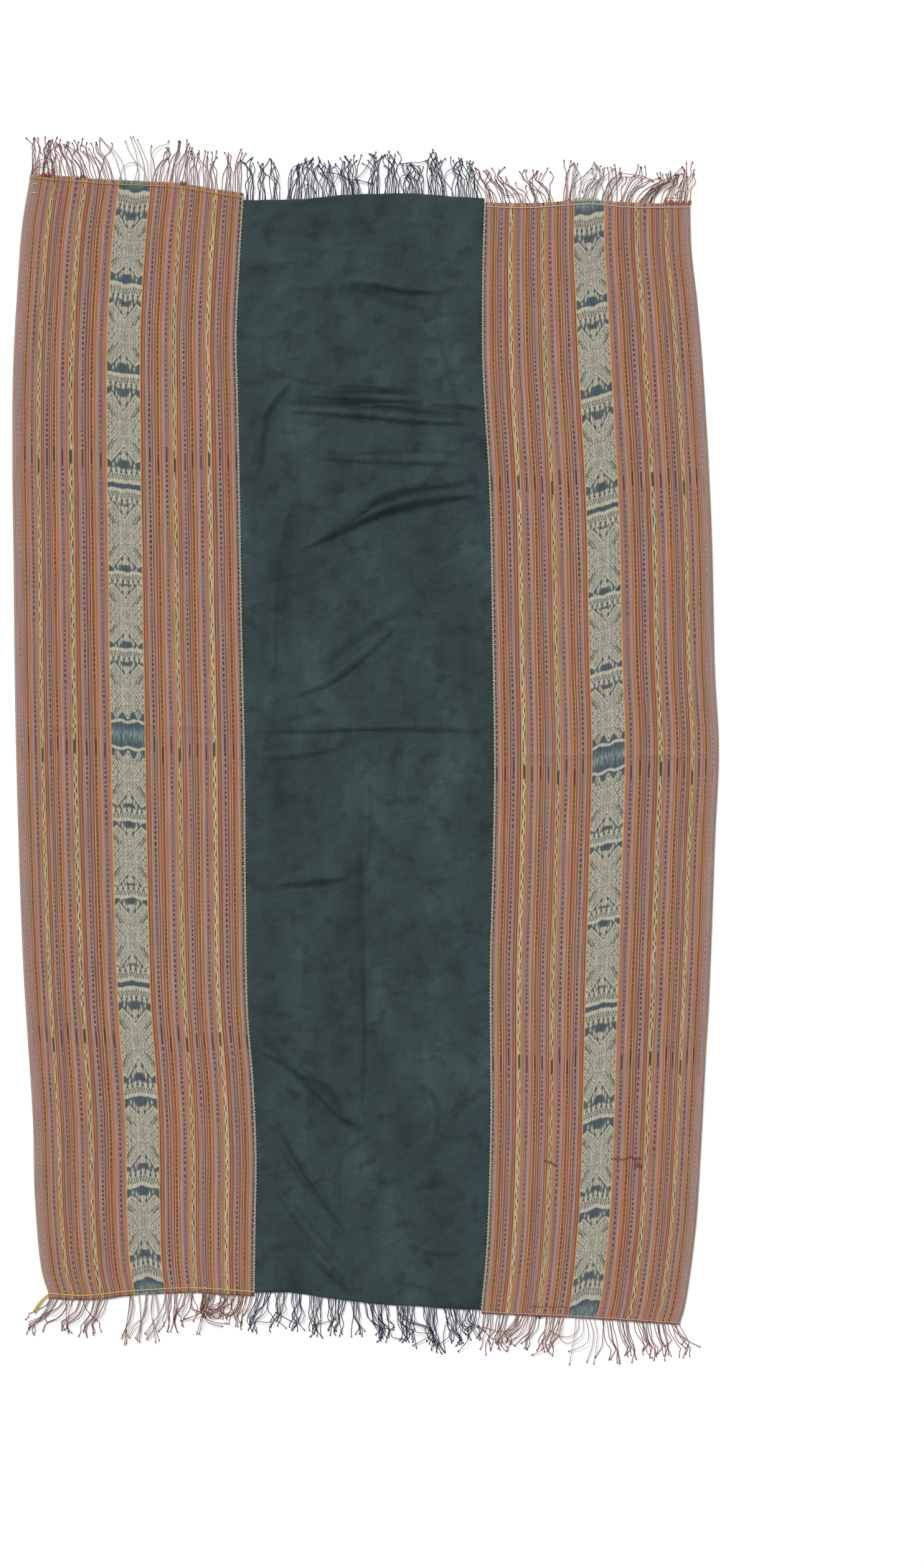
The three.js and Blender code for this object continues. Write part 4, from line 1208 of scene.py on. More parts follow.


# %% [markdown]
# The centre panel is one sheet on the frame's folds. A dark line of painted shade runs beside each ridge,
# and more lines of painted shade lie along the creases, with marks of pressing and rubbing among them.
# The shader reads their darkness as a value at each point.

# %% Centre panel
CENTRE_WIDTH = 385
CENTRE_LENGTH = 1775
CENTRE_STEP = 3.2
CENTRE_SKIPS = (1, 4, 3)
# Width of the painted shade beside each fold, and how far out from its crest it lies, as a share of half the
# fold's width.
CREASE_SHADE_WIDTH = 2.4
CREASE_SHADE_OFFSET = 0.62
# Lines of painted shade along the creases, with marks of pressing and rubbing among them.
PRESSED_AND_SHADED_LINES = table("line, width, shade", [
    ([(-122, 583), (-150, 545), (-173, 511)], 8, 0.5),
    ([(-130, 553), (-164, 502), (-173, 451)], 6, 0.5),
    ([(-88, 568), (-2, 572), (87, 568)], 7, 1.15),
    ([(-130, 555), (-36, 551), (49, 545), (109, 534), (160, 532)], 7, 1.0),
    ([(143, 549), (162, 546), (181, 545)], 4, 0.7),
    ([(-96, 470), (32, 472), (100, 477), (164, 470)], 4, 0.5),
    ([(28, 459), (90, 456), (147, 457)], 4, 0.6),
    ([(-83, 327), (-36, 353), (32, 400), (83, 413), (155, 421), (181, 430)], 7, 1.15),
    ([(-53, 344), (32, 378), (91, 396), (160, 400), (185, 393)], 7, 0.9),
    ([(-109, 438), (-115, 374), (-126, 289), (-130, 195), (-126, 131)], 10, 0.45),
    ([(-134, 408), (-152, 302), (-160, 195), (-164, 110)], 9, 0.4),
    ([(100, 229), (32, 204), (-36, 157), (-79, 118)], 8, 0.5),
    ([(109, 690), (130, 613), (143, 545), (134, 494)], 3, 0.3),
    ([(-62, 747), (6, 741), (70, 730), (147, 732)], 5, 0.9),
    ([(-66, 728), (-2, 732), (49, 711), (91, 711)], 8, 0.55),
    ([(-100, 865), (-152, 843), (-164, 809)], 6, 0.35),
    ([(-90, 850), (-66, 843), (-60, 820)], 16, 0.3),
    ([(-164, 780), (-160, 740), (-150, 700)], 16, 0.3),
    ([(-178, 25), (-100, 30), (-16, 28)], 5, 0.5),
    ([(16, 31), (110, 31), (192, 26)], 5, 0.5),
    ([(-188, -15), (-102, -12), (0, 18)], 6, 0.45),
    ([(0, -71), (-10, -300), (-4, -481), (-14, -541)], 6, 0.45),
    ([(-127, -218), (-80, -214), (-28, -213)], 7, 0.6),
    ([(45, -213), (60, -212), (74, -211)], 5, 0.4),
    ([(-183, -441), (-107, -525), (-58, -549), (-34, -593), (2, -611)], 7, 0.65),
    ([(-142, -610), (-101, -681), (-64, -735), (-27, -786)], 3, 0.9),
    ([(-91, -815), (-51, -853), (-14, -883)], 6, 0.7),
    ([(-61, -580), (-27, -603), (3, -614)], 5, 0.8),
    ([(-145, -715), (-132, -728), (-118, -742)], 3, 0.5),
    ([(67, -708), (100, -705), (134, -693)], 5, 0.5),
    ([(134, -600), (121, -624), (107, -651)], 3, 0.5),
    ([(6, -696), (40, -695), (74, -694)], 6, 0.4),
    ([(97, -812), (101, -825), (104, -839)], 5, 0.6),
    ([(40, -856), (84, -866), (127, -876)], 4, 0.45),
    ([(150, -560), (120, -640), (60, -700)], 9, 0.3),
    ([(-150, 60), (-140, -80), (-150, -180)], 14, 0.3),
    ([(150, 300), (160, 180), (150, 60)], 12, 0.25),
])


def line_shade(x, y, line, width, shift=None):
    """A bell of shade along a line, faded at its ends: exp(-((far - shift) / width)^2) sin(pi share)"""
    inside = in_reach(x, y, line, 3 * width)
    far, share = near_line(x[inside], y[inside], line)
    shade = np.zeros(x.shape)
    shifted = far if shift is None else far - shift * np.sqrt(np.sin(np.pi * share))
    shade[inside] = np.exp(-((shifted / width) ** 2)) * np.sin(np.pi * share) ** 0.6
    return shade


def painted_crease_shade(x, y):
    """Painted shade on the cloth: at the foot of each fold, and along the listed lines, with marks of
    pressing and rubbing among it
    """
    shades = [
        line_shade(x, y, smooth_line(fold["crest"], 12), CREASE_SHADE_WIDTH, fold["width"] / 2 * CREASE_SHADE_OFFSET)
        * 0.5 * min(1, fold["height"] / 5)
        for fold in FOLDS["centre"]
    ]
    shades += [
        line_shade(x, y, smooth_line(dark_line["line"], 12), dark_line["width"]) * dark_line["shade"]
        for dark_line in PRESSED_AND_SHADED_LINES
    ]
    return np.clip(0.85 * np.max(shades, axis=0), 0, 0.95)


def centre_panel(material):
    """The plain panel: a Coons patch with its folds, ripples and lines of painted shade in its creases"""
    columns = whole_steps(CENTRE_WIDTH, CENTRE_STEP, CENTRE_SKIPS[2]) + 1
    rows = whole_steps(CENTRE_LENGTH, CENTRE_STEP, CENTRE_SKIPS[0] * CENTRE_SKIPS[1]) + 1
    across, up = np.linspace(0, 1, columns), np.linspace(0, 1, rows)
    flat = panel_patch("centre", across, up)
    x, y = flat[..., 0], flat[..., 1]
    at_seams = np.sqrt(np.sin(np.pi * np.clip(across, 0.002, 0.998)))
    lift = CENTRE_FOLD_SHARE * fold_height("centre", x, y) + at_seams * ripple(x, y, CENTRE_RIPPLE)
    top = np.dstack([x, y, lift + CLOTH_THICKNESS])
    # The painted shade of the creases is kept at each point for the shader.
    fields = {"painted_shade": painted_crease_shade(x, y)}
    weave = np.dstack([x, y])
    made = closed_sheet("centre_panel_cloth", top, CENTRE_SKIPS, material, fields, weave)
    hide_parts("centre_panel")
    return made


centre = centre_panel(indigo_cotton())

# %% [markdown]
# A cord is a tube carried along a path. A ring of points stands square to the path at each station, and its
# radius follows a profile: even along the cord, swollen at the knot, and nothing at the tip. All cords
# of one fringe are worked out at once, as arrays of cord, station and ring point.


# %% Tubes along paths
def tubes(paths, radii, sides):
    """Closed tubes: ring point k of a station is path + radius (cos a side + sin a up), a = 2 pi k / sides.
    "paths" is (tubes, stations, 3) and "radii" (tubes, stations). Each end closes with one face."""
    count, stations = paths.shape[:2]
    ahead = np.gradient(paths, axis=1)
    ahead /= np.linalg.norm(ahead, axis=2, keepdims=True)
    side = np.cross(ahead, [0.0, 0.0, 1.0])
    side /= np.maximum(np.linalg.norm(side, axis=2, keepdims=True), 1e-6)
    upward = np.cross(side, ahead)
    angle = 2 * np.pi * np.arange(sides) / sides
    ring = side[:, :, None] * np.cos(angle)[:, None] + upward[:, :, None] * np.sin(angle)[:, None]
    points = paths[:, :, None] + ring * radii[:, :, None, None]
    number = np.arange(count * stations * sides).reshape(count, stations, sides)
    after = np.roll(number, -1, axis=2)
    walls = np.stack([number[:, :-1], after[:, :-1], after[:, 1:], number[:, 1:]], -1).reshape(-1, 4)
    caps = np.concatenate([number[:, 0, ::-1], number[:, -1]])
    return points.reshape(-1, 3), walls[:, ::-1].tolist() + caps[:, ::-1].tolist()


def tube_object(name, paths, radii, sides, material, colours=None, shades=None):
    """A joined object of tubes, with a map of (turn, millimetres along) for twist, a colour for each
    and a shade for each station"""
    points, faces = tubes(paths, radii, sides)
    made = mesh_object(name, points, faces, material)
    mesh = made.data
    corner_points = corner_numbers(mesh)
    steps = np.linalg.norm(np.diff(paths, axis=1), axis=2)
    walked = np.concatenate([np.zeros((len(paths), 1)), np.cumsum(steps, axis=1)], axis=1)
    run = np.repeat(walked.ravel(), sides)[corner_points]
    turn = (corner_points % sides) / sides
    keep_map(mesh, "Cord", np.column_stack([turn, run]))
    if colours is not None:
        kept = mesh.attributes.new("yarn", "FLOAT_COLOR", "POINT")
        shade = np.ones((paths.shape[1], 4))
        if shades is not None:
            shade[:, :3] = shades[:, None]
        by_station = colours[:, None] * shade[None]
        spread_out = np.repeat(by_station.reshape(-1, 4), sides, axis=0)
        kept.data.foreach_set("color", spread_out.astype(np.float32).ravel())
    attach(made, "root")
    print(f"{name}: {len(paths)} strands, {sum(len(face) - 2 for face in faces)} triangles")
    return made


def twisted_yarn(name, colour=None, light=1.25, dark=0.7, pitch=3.2):
    """Two-ply twisted cotton, with a slanting line of painted light on its plies and painted shade between
    them
    """
    m = new_material(name)
    place = add(m, "SeparateXYZ", {0: add(m, "UVMap", uv_map="Cord")})
    run = add(m, "Math", {0: place.outputs[1], 1: 1 / pitch, 2: place.outputs[0]}, operation="MULTIPLY_ADD")
    twist = sine_wave(m, run, 0.5)
    # The twist is painted light and shade: lighter on the crowns of the plies, darker in the groove between
    # them.
    shade = add(m, "MapRange", {
        "Value": twist,
        "From Min": -1.0,
        "From Max": 1.0,
        "To Min": dark,
        "To Max": light,
    })
    base = linear(colour) if colour else add(m, "Attribute", attribute_name="yarn").outputs["Color"]
    bump = add(m, "Bump", {"Height": twist, "Strength": 0.6, "Distance": 0.2 * MM})
    return matt_cotton(m, times_shade(m, base, shade), bump, roughness=0.88, specular=0.2)


# %% [markdown]
# Each end of each panel has a fringe: the warp ends left over from weaving, twisted in groups into thin
# cords, each with a knot near its tip. They have fallen into locks that draw together and then splay.
# The first table gives each lock's roots, gathering place and reach, as in the frame. The second lays
# single cords one by one, where they loop or cross. The waviness of the others comes from a seeded draw.

# %% Fringe locks
LOCK_COLUMNS = "from, to, tips, reach"
LOCKS = {
    "left top": table(LOCK_COLUMNS, [
        (-537, -516, -524, 74), (-510, -488, -508, 66), (-480, -462, -489, 68), (-456, -442, -468, 66),
        (-436, -422, -450, 71), (-416, -404, -432, 71), (-342, -326, -318, 66), (-319, -296, -294, 78),
        (-289, -268, -276, 70), (-260, -238, -252, 68), (-230, -200, -210, 78),
    ]),
    "centre top": table(LOCK_COLUMNS, [
        (-193, -180, -184, 74), (-172, -160, -168, 72), (-152, -138, -152, 73), (-127, -104, -106, 68),
        (-98, -76, -88, 72), (-69, -46, -66, 62), (-39, -6, -30, 70), (4, 22, 18, 74), (30, 52, 44, 74),
        (60, 92, 78, 52), (102, 128, 108, 76), (140, 186, 158, 70),
    ]),
    "right top": table(LOCK_COLUMNS, [
        (194, 212, 186, 64), (219, 234, 206, 66), (243, 256, 226, 54), (266, 280, 250, 64),
        (288, 302, 270, 62), (317, 336, 330, 72), (346, 368, 376, 62), (378, 396, 408, 62),
        (404, 424, 440, 70), (433, 462, 484, 58), (474, 490, 500, 52), (498, 518, 519, 72),
    ]),
    "left bottom": table(LOCK_COLUMNS, [
        (-506, -492, -536, 62), (-484, -468, -514, 66), (-460, -444, -482, 62), (-436, -414, -446, 68),
        (-320, -302, -316, 75), (-294, -276, -300, 62), (-263, -242, -263, 52), (-234, -212, -226, 46),
        (-204, -182, -206, 60),
    ]),
    "centre bottom": table(LOCK_COLUMNS, [
        (-174, -150, -182, 70), (-140, -126, -142, 62), (-118, -102, -112, 70), (-90, -68, -82, 74),
        (-60, -32, -50, 66), (-23, -10, -12, 66), (-2, 36, 30, 66), (50, 80, 66, 66), (92, 114, 108, 74),
        (124, 150, 148, 68), (160, 182, 174, 54),
    ]),
    "right bottom": table(LOCK_COLUMNS, [
        (190, 204, 190, 70), (212, 230, 208, 62), (242, 262, 226, 56), (268, 280, 258, 58),
        (290, 318, 290, 62), (380, 396, 402, 76), (404, 422, 426, 68), (432, 456, 458, 62),
        (463, 480, 484, 62), (486, 502, 516, 58),
    ]),
}
LOOSE_CORDS = {
    "left top": [
        [(-537, 923), (-534, 931), (-525, 941), (-514, 945), (-505, 943), (-500, 937), (-499, 922)],
        [(-535, 919), (-529, 929), (-519, 936), (-507, 939), (-499, 945), (-496, 953)],
        [(-536, 920), (-532, 927), (-522, 931), (-511, 930), (-503, 924), (-499, 918)],
        [(-519, 919), (-516, 931), (-514, 941), (-510, 947), (-509, 957), (-508, 967)],
        [(-505, 919), (-502, 933), (-507, 945), (-517, 951), (-523, 956)],
        [(-451, 913), (-457, 935), (-459, 950), (-471, 960), (-480, 967), (-486, 968)],
        [(-395, 907), (-392, 925), (-387, 933), (-377, 938), (-367, 938), (-357, 929), (-353, 917),
         (-351, 905)],
        [(-344, 910), (-343, 951), (-335, 962), (-327, 966), (-318, 968), (-316, 975)],
        [(-385, 907), (-390, 937), (-401, 955), (-417, 969), (-424, 977)],
        [(-391, 907), (-397, 931), (-403, 949), (-417, 967), (-427, 980)],
        [(-365, 905), (-364, 919), (-369, 939), (-379, 955), (-386, 974)],
        [(-371, 905), (-366, 929), (-368, 951), (-378, 981)],
        [(-356, 905), (-355, 929), (-363, 957), (-374, 981)],
        [(-349, 905), (-350, 935), (-357, 955), (-367, 977)],
    ],
    "centre top": [
        [(-121, 878), (-124, 897), (-122, 920), (-114, 933), (-104, 935), (-98, 938), (-83, 944)],
        [(-104, 880), (-102, 897), (-94, 903), (-83, 897), (-80, 889)],
        [(-60, 880), (-56, 897), (-48, 909), (-43, 920), (-48, 930), (-58, 929), (-63, 923), (-52, 921),
         (-35, 917), (-25, 909)],
        [(-21, 884), (-22, 899), (-27, 910), (-14, 911), (-2, 908), (14, 905)],
        [(-13, 884), (-15, 900), (-21, 909), (-6, 909), (12, 903)],
        [(-19, 886), (-22, 903), (-35, 915), (-56, 922), (-74, 921)],
        [(-29, 886), (-25, 905), (-14, 913), (-2, 926), (14, 952)],
        [(19, 888), (16, 915), (6, 931), (-6, 938)],
        [(54, 886), (52, 903), (47, 918), (29, 934)],
        [(63, 886), (56, 905), (58, 917), (69, 918), (84, 909)],
        [(92, 886), (93, 911), (85, 930), (73, 936), (55, 937)],
        [(83, 886), (69, 917), (57, 933), (69, 938), (85, 938), (99, 942)],
        [(131, 886), (127, 911), (131, 924), (140, 929), (150, 925), (152, 917)],
        [(108, 885), (101, 905), (108, 924), (129, 946)],
        [(124, 886), (124, 917), (117, 938), (107, 961)],
    ],
    "right top": [
        [(252, 872), (252, 887), (243, 890), (234, 886), (222, 887), (217, 895), (209, 912)],
        [(347, 878), (355, 893), (370, 903), (382, 914), (398, 929)],
        [(380, 878), (381, 897), (374, 908), (363, 912), (353, 906), (348, 890)],
        [(343, 878), (346, 903), (357, 924), (379, 934)],
        [(336, 880), (345, 899), (343, 922), (333, 935)],
        [(324, 876), (338, 906), (359, 924), (368, 940)],
        [(384, 876), (389, 905), (405, 915), (418, 914), (434, 917)],
        [(388, 876), (394, 908), (409, 920), (428, 919), (447, 916), (463, 908)],
        [(482, 874), (484, 881), (495, 881), (511, 883), (515, 889), (509, 893), (501, 891), (497, 886)],
        [(441, 872), (457, 895), (478, 910), (503, 920)],
        [(449, 872), (463, 897), (486, 910), (510, 933)],
        [(455, 872), (468, 899), (493, 908), (509, 922)],
        [(426, 874), (432, 893), (447, 906), (472, 914)],
    ],
    "left bottom": [
        [(-506, -888), (-516, -910), (-530, -924), (-542, -933)],
        [(-374, -880), (-372, -896), (-378, -920), (-392, -950)],
        [(-352, -880), (-354, -914), (-370, -928), (-380, -949)],
        [(-349, -880), (-358, -920), (-370, -950)],
        [(-342, -880), (-344, -908), (-338, -930), (-331, -954)],
        [(-338, -882), (-333, -910), (-336, -928), (-352, -950)],
        [(-364, -880), (-362, -900), (-360, -926), (-363, -956)],
        [(-378, -880), (-380, -905), (-383, -925), (-384, -958)],
        [(-320, -878), (-324, -898), (-342, -924), (-355, -942)],
        [(-280, -875), (-280, -890), (-276, -902), (-264, -907)],
        [(-262, -874), (-260, -892), (-262, -906), (-276, -913), (-292, -918)],
        [(-256, -876), (-262, -894), (-262, -910), (-266, -926), (-271, -943)],
        [(-250, -876), (-256, -890), (-260, -904), (-254, -918), (-238, -924), (-221, -925)],
        [(-242, -876), (-248, -888), (-256, -900), (-252, -914), (-232, -916)],
        [(-234, -876), (-224, -886), (-238, -893), (-252, -898), (-258, -906)],
        [(-220, -878), (-226, -890), (-242, -904), (-254, -910)],
        [(-210, -878), (-216, -892), (-234, -900), (-252, -902)],
        [(-246, -876), (-254, -894), (-257, -908), (-244, -914), (-236, -917)],
        [(-196, -880), (-210, -910), (-222, -912), (-230, -908)],
    ],
    "centre bottom": [
        [(-106, -879), (-104, -896), (-98, -910), (-102, -923), (-110, -925), (-127, -917), (-145, -907)],
        [(-146, -877), (-140, -905), (-150, -922), (-175, -922), (-187, -927)],
        [(52, -898), (55, -912), (73, -923), (94, -931), (107, -940), (106, -969)],
        [(59, -898), (57, -915), (80, -925), (105, -935), (115, -973)],
        [(65, -898), (61, -912), (82, -923), (103, -933), (111, -950), (123, -975)],
        [(50, -898), (53, -919), (71, -935), (92, -940), (109, -942), (125, -969)],
        [(69, -898), (63, -915), (75, -933), (82, -966)],
        [(115, -900), (111, -919), (109, -940), (92, -952), (75, -961)],
        [(105, -898), (105, -919), (107, -940), (127, -972)],
        [(142, -899), (148, -919), (159, -929), (180, -931), (192, -938)],
        [(167, -901), (157, -923), (144, -937), (130, -950), (113, -962)],
        [(159, -901), (155, -919), (165, -937), (165, -950), (148, -971)],
        [(136, -900), (135, -912), (128, -929), (125, -948), (128, -973)],
        [(32, -894), (23, -919), (38, -931), (42, -946), (61, -950)],
        [(11, -893), (12, -917), (21, -929), (46, -935)],
        [(-31, -890), (-39, -910), (-58, -921), (-85, -928)],
    ],
    "right bottom": [
        [(244, -914), (241, -928), (230, -936), (211, -937), (190, -931), (178, -931)],
        [(263, -917), (255, -938), (241, -949), (224, -953), (211, -955)],
        [(318, -922), (312, -945), (293, -959), (278, -971), (266, -976)],
        [(343, -924), (341, -936), (330, -945), (316, -946), (295, -936)],
        [(349, -924), (349, -940), (339, -951), (324, -957), (314, -951), (311, -945)],
        [(353, -924), (358, -938), (357, -953), (345, -963), (325, -970)],
        [(359, -924), (366, -940), (364, -961), (355, -988)],
        [(367, -925), (372, -941), (370, -966), (366, -991)],
        [(338, -924), (335, -947), (331, -970), (327, -992)],
        [(493, -928), (513, -949), (538, -963)],
    ],
}
CORD_PITCHES = {"left": 3.2, "centre": 2.7, "right": 3.0}
CORD_RADIUS = 0.58
TIP_PITCHES = {"left": 2.5, "centre": 1.7, "right": 2.5}
SWAYS = {"left": 1.2, "centre": 2.3, "right": 1.2}
STATIONS = np.concatenate([np.linspace(0, 0.93, 13), [0.955, 0.965, 0.985, 1.0]])
PROFILE = {"station": [0, 0.955, 0.965, 0.985, 1.0], "radius": [1, 1, 1.9, 1.9, 0.9]}
GATHER = 0.7
STRAY_SHARE = 0.13
STRAY_SPREAD = 13
SHORT_SHARE = 0.12
SHORT_LENGTH = 0.72
SPLAY = 5.5
LAYER_HEIGHT = 1.6
ROOT_TUCK = 1.5
CORD_YARNS = ["#87544a", "#935f52", "#7a5350", "#9e644b", "#836664", "#925c48", "#7a636b"]
BAND_YARNS = ["#a3958a", "#ae9f92", "#95857d", "#a78d85"]
INDIGO_YARNS = ["#363a50", "#43465e", "#2a2d40"]
KNOT_SHADE = 0.72
LAID_TWINS = {"left bottom": 1}
FRINGE_SEED = 40


def swung_cords(place, side, depth, random):
    """Paths of the cords of one end from root to tip, as (cords, stations, 3).

    A cord leans from its root to where its lock gathers, in a curve of its own: the share of the lean is
    the height to a power. Past that it splays by the square of the height. A sideways wave
    grows along it, and about one cord in eight goes its own way."""
    name = place.split()[0]
    roots, gathers, reaches, layers = [], [], [], []
    for lock in LOCKS[place]:
        count = max(3, round((lock["to"] - lock["from"]) / CORD_PITCHES[name]) + 1)
        root = np.linspace(lock["from"], lock["to"], count) + random.uniform(-1.0, 1.0, count)
        together = lock["tips"] + (np.arange(count) - (count - 1) / 2) * TIP_PITCHES[name]
        stray = random.random(count) < STRAY_SHARE
        roots.append(root)
        gathers.append(np.where(stray, root + random.normal(0, STRAY_SPREAD, count), together))
        short = np.where(random.random(count) < SHORT_SHARE, SHORT_LENGTH, 1.0)
        reaches.append(lock["reach"] * random.uniform(0.8, 1.0, count) * short)
        layers.append((np.arange(count) + stray) % 3)
    root, gather = np.concatenate(roots)[:, None], np.concatenate(gathers)[:, None]
    reach, layer = np.concatenate(reaches)[:, None], np.concatenate(layers)[:, None]
    t = STATIONS[None, :]
    power = random.uniform(0.75, 1.9, root.shape)
    lean = np.clip(t / GATHER, 0, 1) ** power
    lean = lean * (1 - 0.25 * np.sin(np.pi * np.clip(t / GATHER, 0, 1)))
    splay = random.normal(0, SPLAY, root.shape) * (np.clip(t - 0.5, 0, 1) / 0.5) ** 2
    turns = random.uniform(0.9, 2.1, root.shape)
    sway = random.uniform(0.8, 2.6, root.shape) * SWAYS[name]
    wave = sway * np.sin(2 * np.pi * turns * t + random.uniform(0, 6, root.shape))
    x = root + (gather - root) * lean + splay + wave * np.clip(1.8 * t, 0, 1) * t ** 0.3
    line = end_lines[place]
    base = np.interp(root, line[:, 0], line[:, 1])
    droop = random.uniform(0, 0.1, root.shape) * t ** 4
    y = base + side * (depth - ROOT_TUCK + (reach + 6 - depth) * (t - droop))
    z = CORD_RADIUS + 0.1 + layer * LAYER_HEIGHT * np.sin(np.pi * np.clip(t * 1.1, 0, 1)) ** 2
    z = z + 0.3 * np.clip(1 - 4 * t, 0, 1)
    return np.stack([x, y, z], -1)


def fringe_paths(place, side, depth, random):
    """All cords of one end: the swung ones, then those laid by hand, with a radius at each station"""
    swung = swung_cords(place, side, depth, random)
    line = end_lines[place]
    laid = []
    for number, ((root, _), *rest) in enumerate(LOOSE_CORDS[place]):
        start = (root, np.interp(root, line[:, 0], line[:, 1]) + side * (depth - ROOT_TUCK))
        flat = along(smooth_line([start, *rest], 1.5), STATIONS)
        height = 1.0 + (1.8 + 1.2 * (number % 3)) * np.sin(np.pi * STATIONS) ** 0.6
        laid.append(np.column_stack([flat, height]))
        for _ in range(LAID_TWINS.get(place, 0)):
            aside = random.normal(0, 1.2, 2) + random.normal(0, 4, 2) * STATIONS[:, None] ** 2
            laid.append(np.column_stack([flat + aside, height + 0.6]))
    paths = np.concatenate([swung, np.array(laid)])
    radii = np.interp(STATIONS, PROFILE["station"], PROFILE["radius"]) * CORD_RADIUS
    paths[..., 2] = np.maximum(paths[..., 2], radii + 0.05)
    return paths, np.tile(radii, (len(paths), 1)), paths[:, 0, 0]


def palette(colours):
    """Hex colours as rows of linear ones"""
    return np.array([linear(colour) for colour in colours])


def yarn_colours(root, place, random):
    """A yarn colour for each cord: that of the stripes or the ikat band at its root, or indigo"""
    name = place.split()[0]
    dyed = palette(INDIGO_YARNS if name == "centre" else CORD_YARNS)
    colours = dyed[random.integers(0, len(dyed), len(root))]
    if name == "centre":
        return colours
    line = end_lines[place]
    share = (root - line[0, 0]) / (line[-1, 0] - line[0, 0])
    from_edge = PANEL_WIDTH * (share if name == "left" else 1 - share)
    pale = palette(BAND_YARNS)
    in_band = (from_edge > BAND["from"] - 4) & (from_edge < BAND["to"] + 4)
    return np.where(in_band[:, None], pale[random.integers(0, len(pale), len(root))], colours)


fringe_yarn = twisted_yarn("twisted fringe cotton")
for seed, place in enumerate(LOCKS):
    name, end = place.split()
    draw = np.random.default_rng(FRINGE_SEED + seed)
    depth = PANELS[name]["heading"][0 if end == "bottom" else 1]
    cord_paths, cord_radii, cord_roots = fringe_paths(place, 1 if end == "top" else -1, depth, draw)
    fringe = tube_object(f"{name}_fringe_{end}_cords", cord_paths, cord_radii, 5, fringe_yarn,
                         yarn_colours(cord_roots, place, draw), np.where(STATIONS > 0.96, KNOT_SHADE, 1.0))
    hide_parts(f"{name}_fringe_{end}")

# %% [markdown]
# The side panels are finished with a twined thread along each end, which keeps the weft from slipping. Two
# yarns turn round each other. Both are ochre at the upper left, one ochre and one cream at the lower
# left, and cream and pink or red at the right.

# %% Twined end threads
TWINES = {
    "left top": ("#c9a552", "#bf9b4c"),
    "right top": ("#d9cfc4", "#c9a79a"),
    "left bottom": ("#c9a64c", "#dccd94"),
    "right bottom": ("#ae5f4e", "#d8cfc2"),
}
TWINE_RADIUS = 0.56
TWINE_PITCH = 5.6


def twine_paths(line, height):
    """Two strands that turn round a line: line + radius (cos a side + sin a up), half a turn apart"""
    ahead = np.gradient(line, axis=0)
    ahead /= np.linalg.norm(ahead, axis=1, keepdims=True)
    side = np.column_stack([-ahead[:, 1], ahead[:, 0]])
    walked = walked_along(line)
    strands = []
    for phase in (0, np.pi):
        angle = 2 * np.pi * walked / TWINE_PITCH + phase
        flat = line + TWINE_RADIUS * np.cos(angle)[:, None] * side
        strands.append(np.column_stack([flat, height + TWINE_RADIUS * np.sin(angle)]))
    return np.array(strands)


for place, (first, second) in TWINES.items():
    name, end = place.split()
    line = smooth_line(END_LINES[place], 1.3)
    strands = twine_paths(line, side_lift(name, *line.T) + CLOTH_THICKNESS + TWINE_RADIUS * 0.8)
    for number, (strand, colour) in enumerate(zip(strands, (first, second))):
        radius = np.full((1, len(strand)), TWINE_RADIUS)
        twine = tube_object(f"{name}_{end}_twine_{number + 1}", strand[None], radius, 6,
                            twisted_yarn(f"twining cotton {colour[1:]}", colour, pitch=2.4))

# %% [markdown]
# The three panels were woven apart and sewn edge to edge with a pale thick thread, over and over. The
# stitches lie close together on the striped side of the seam, and their turns give the seam a scalloped
# edge against the dark panel.

# %% Whip-stitched seams
STITCH_PITCH = 2.9
STITCH_RADIUS = 1.05
STITCH_START = -2.9
STITCH_STOP = 0.2
LONGER_BY = 0.9
STITCH_SLANT = 0.9
UNEVEN = 0.15
STITCH_SEED = 7
SEAMS = {
    "left": {"line": "left seam", "panel": "left", "away": -1, "low": -872, "high": 884},
    "right": {"line": "right seam", "panel": "right", "away": 1, "low": -902, "high": 874},
}


def whip_stitches(seam, random):
    """Short arcs over the seam: each runs across it on a slant, up over the edge and down again"""
    line = long_lines[seam["line"]]
    count = round((seam["high"] - seam["low"]) / STITCH_PITCH)
    y = np.linspace(seam["low"], seam["high"], count) + random.normal(0, UNEVEN, count)
    x = np.interp(y, line[:, 1], line[:, 0])
    long_one = np.arange(count) % 2
    start = STITCH_START + random.normal(0, UNEVEN, count)
    stop = STITCH_STOP + LONGER_BY * long_one + random.normal(0, 0.12, count)
    t = np.linspace(0, 1, 6)[None, :]
    out = start[:, None] + (stop - start)[:, None] * t
    across = x[:, None] - seam["away"] * out
    slant = y[:, None] + STITCH_SLANT * (t - 0.5)
    lift = side_lift(seam["panel"], x, y) + CLOTH_THICKNESS
    z = lift[:, None] + 1.0 * np.sin(np.pi * (0.15 + 0.7 * t)) - 0.5
    radius = STITCH_RADIUS * np.array([0.45, 0.95, 1.0, 1.0, 0.9, 0.4])
    return np.stack([across, slant, z], -1), np.tile(radius, (count, 1))


stitch_yarn = twisted_yarn("pale sewing cotton", "#c6c8b6", light=1.12, dark=0.78)
for name, seam in SEAMS.items():
    stitch_paths, stitch_radii = whip_stitches(seam, np.random.default_rng(STITCH_SEED))
    tube_object(f"{name}_seam_stitches", stitch_paths, stitch_radii, 5, stitch_yarn)

# %% [markdown]
# The yellow end thread is left long at the lower left corner, where its loose plies spread like a small
# brush. Two stray basting stitches of cream thread lie near the upper left corner.

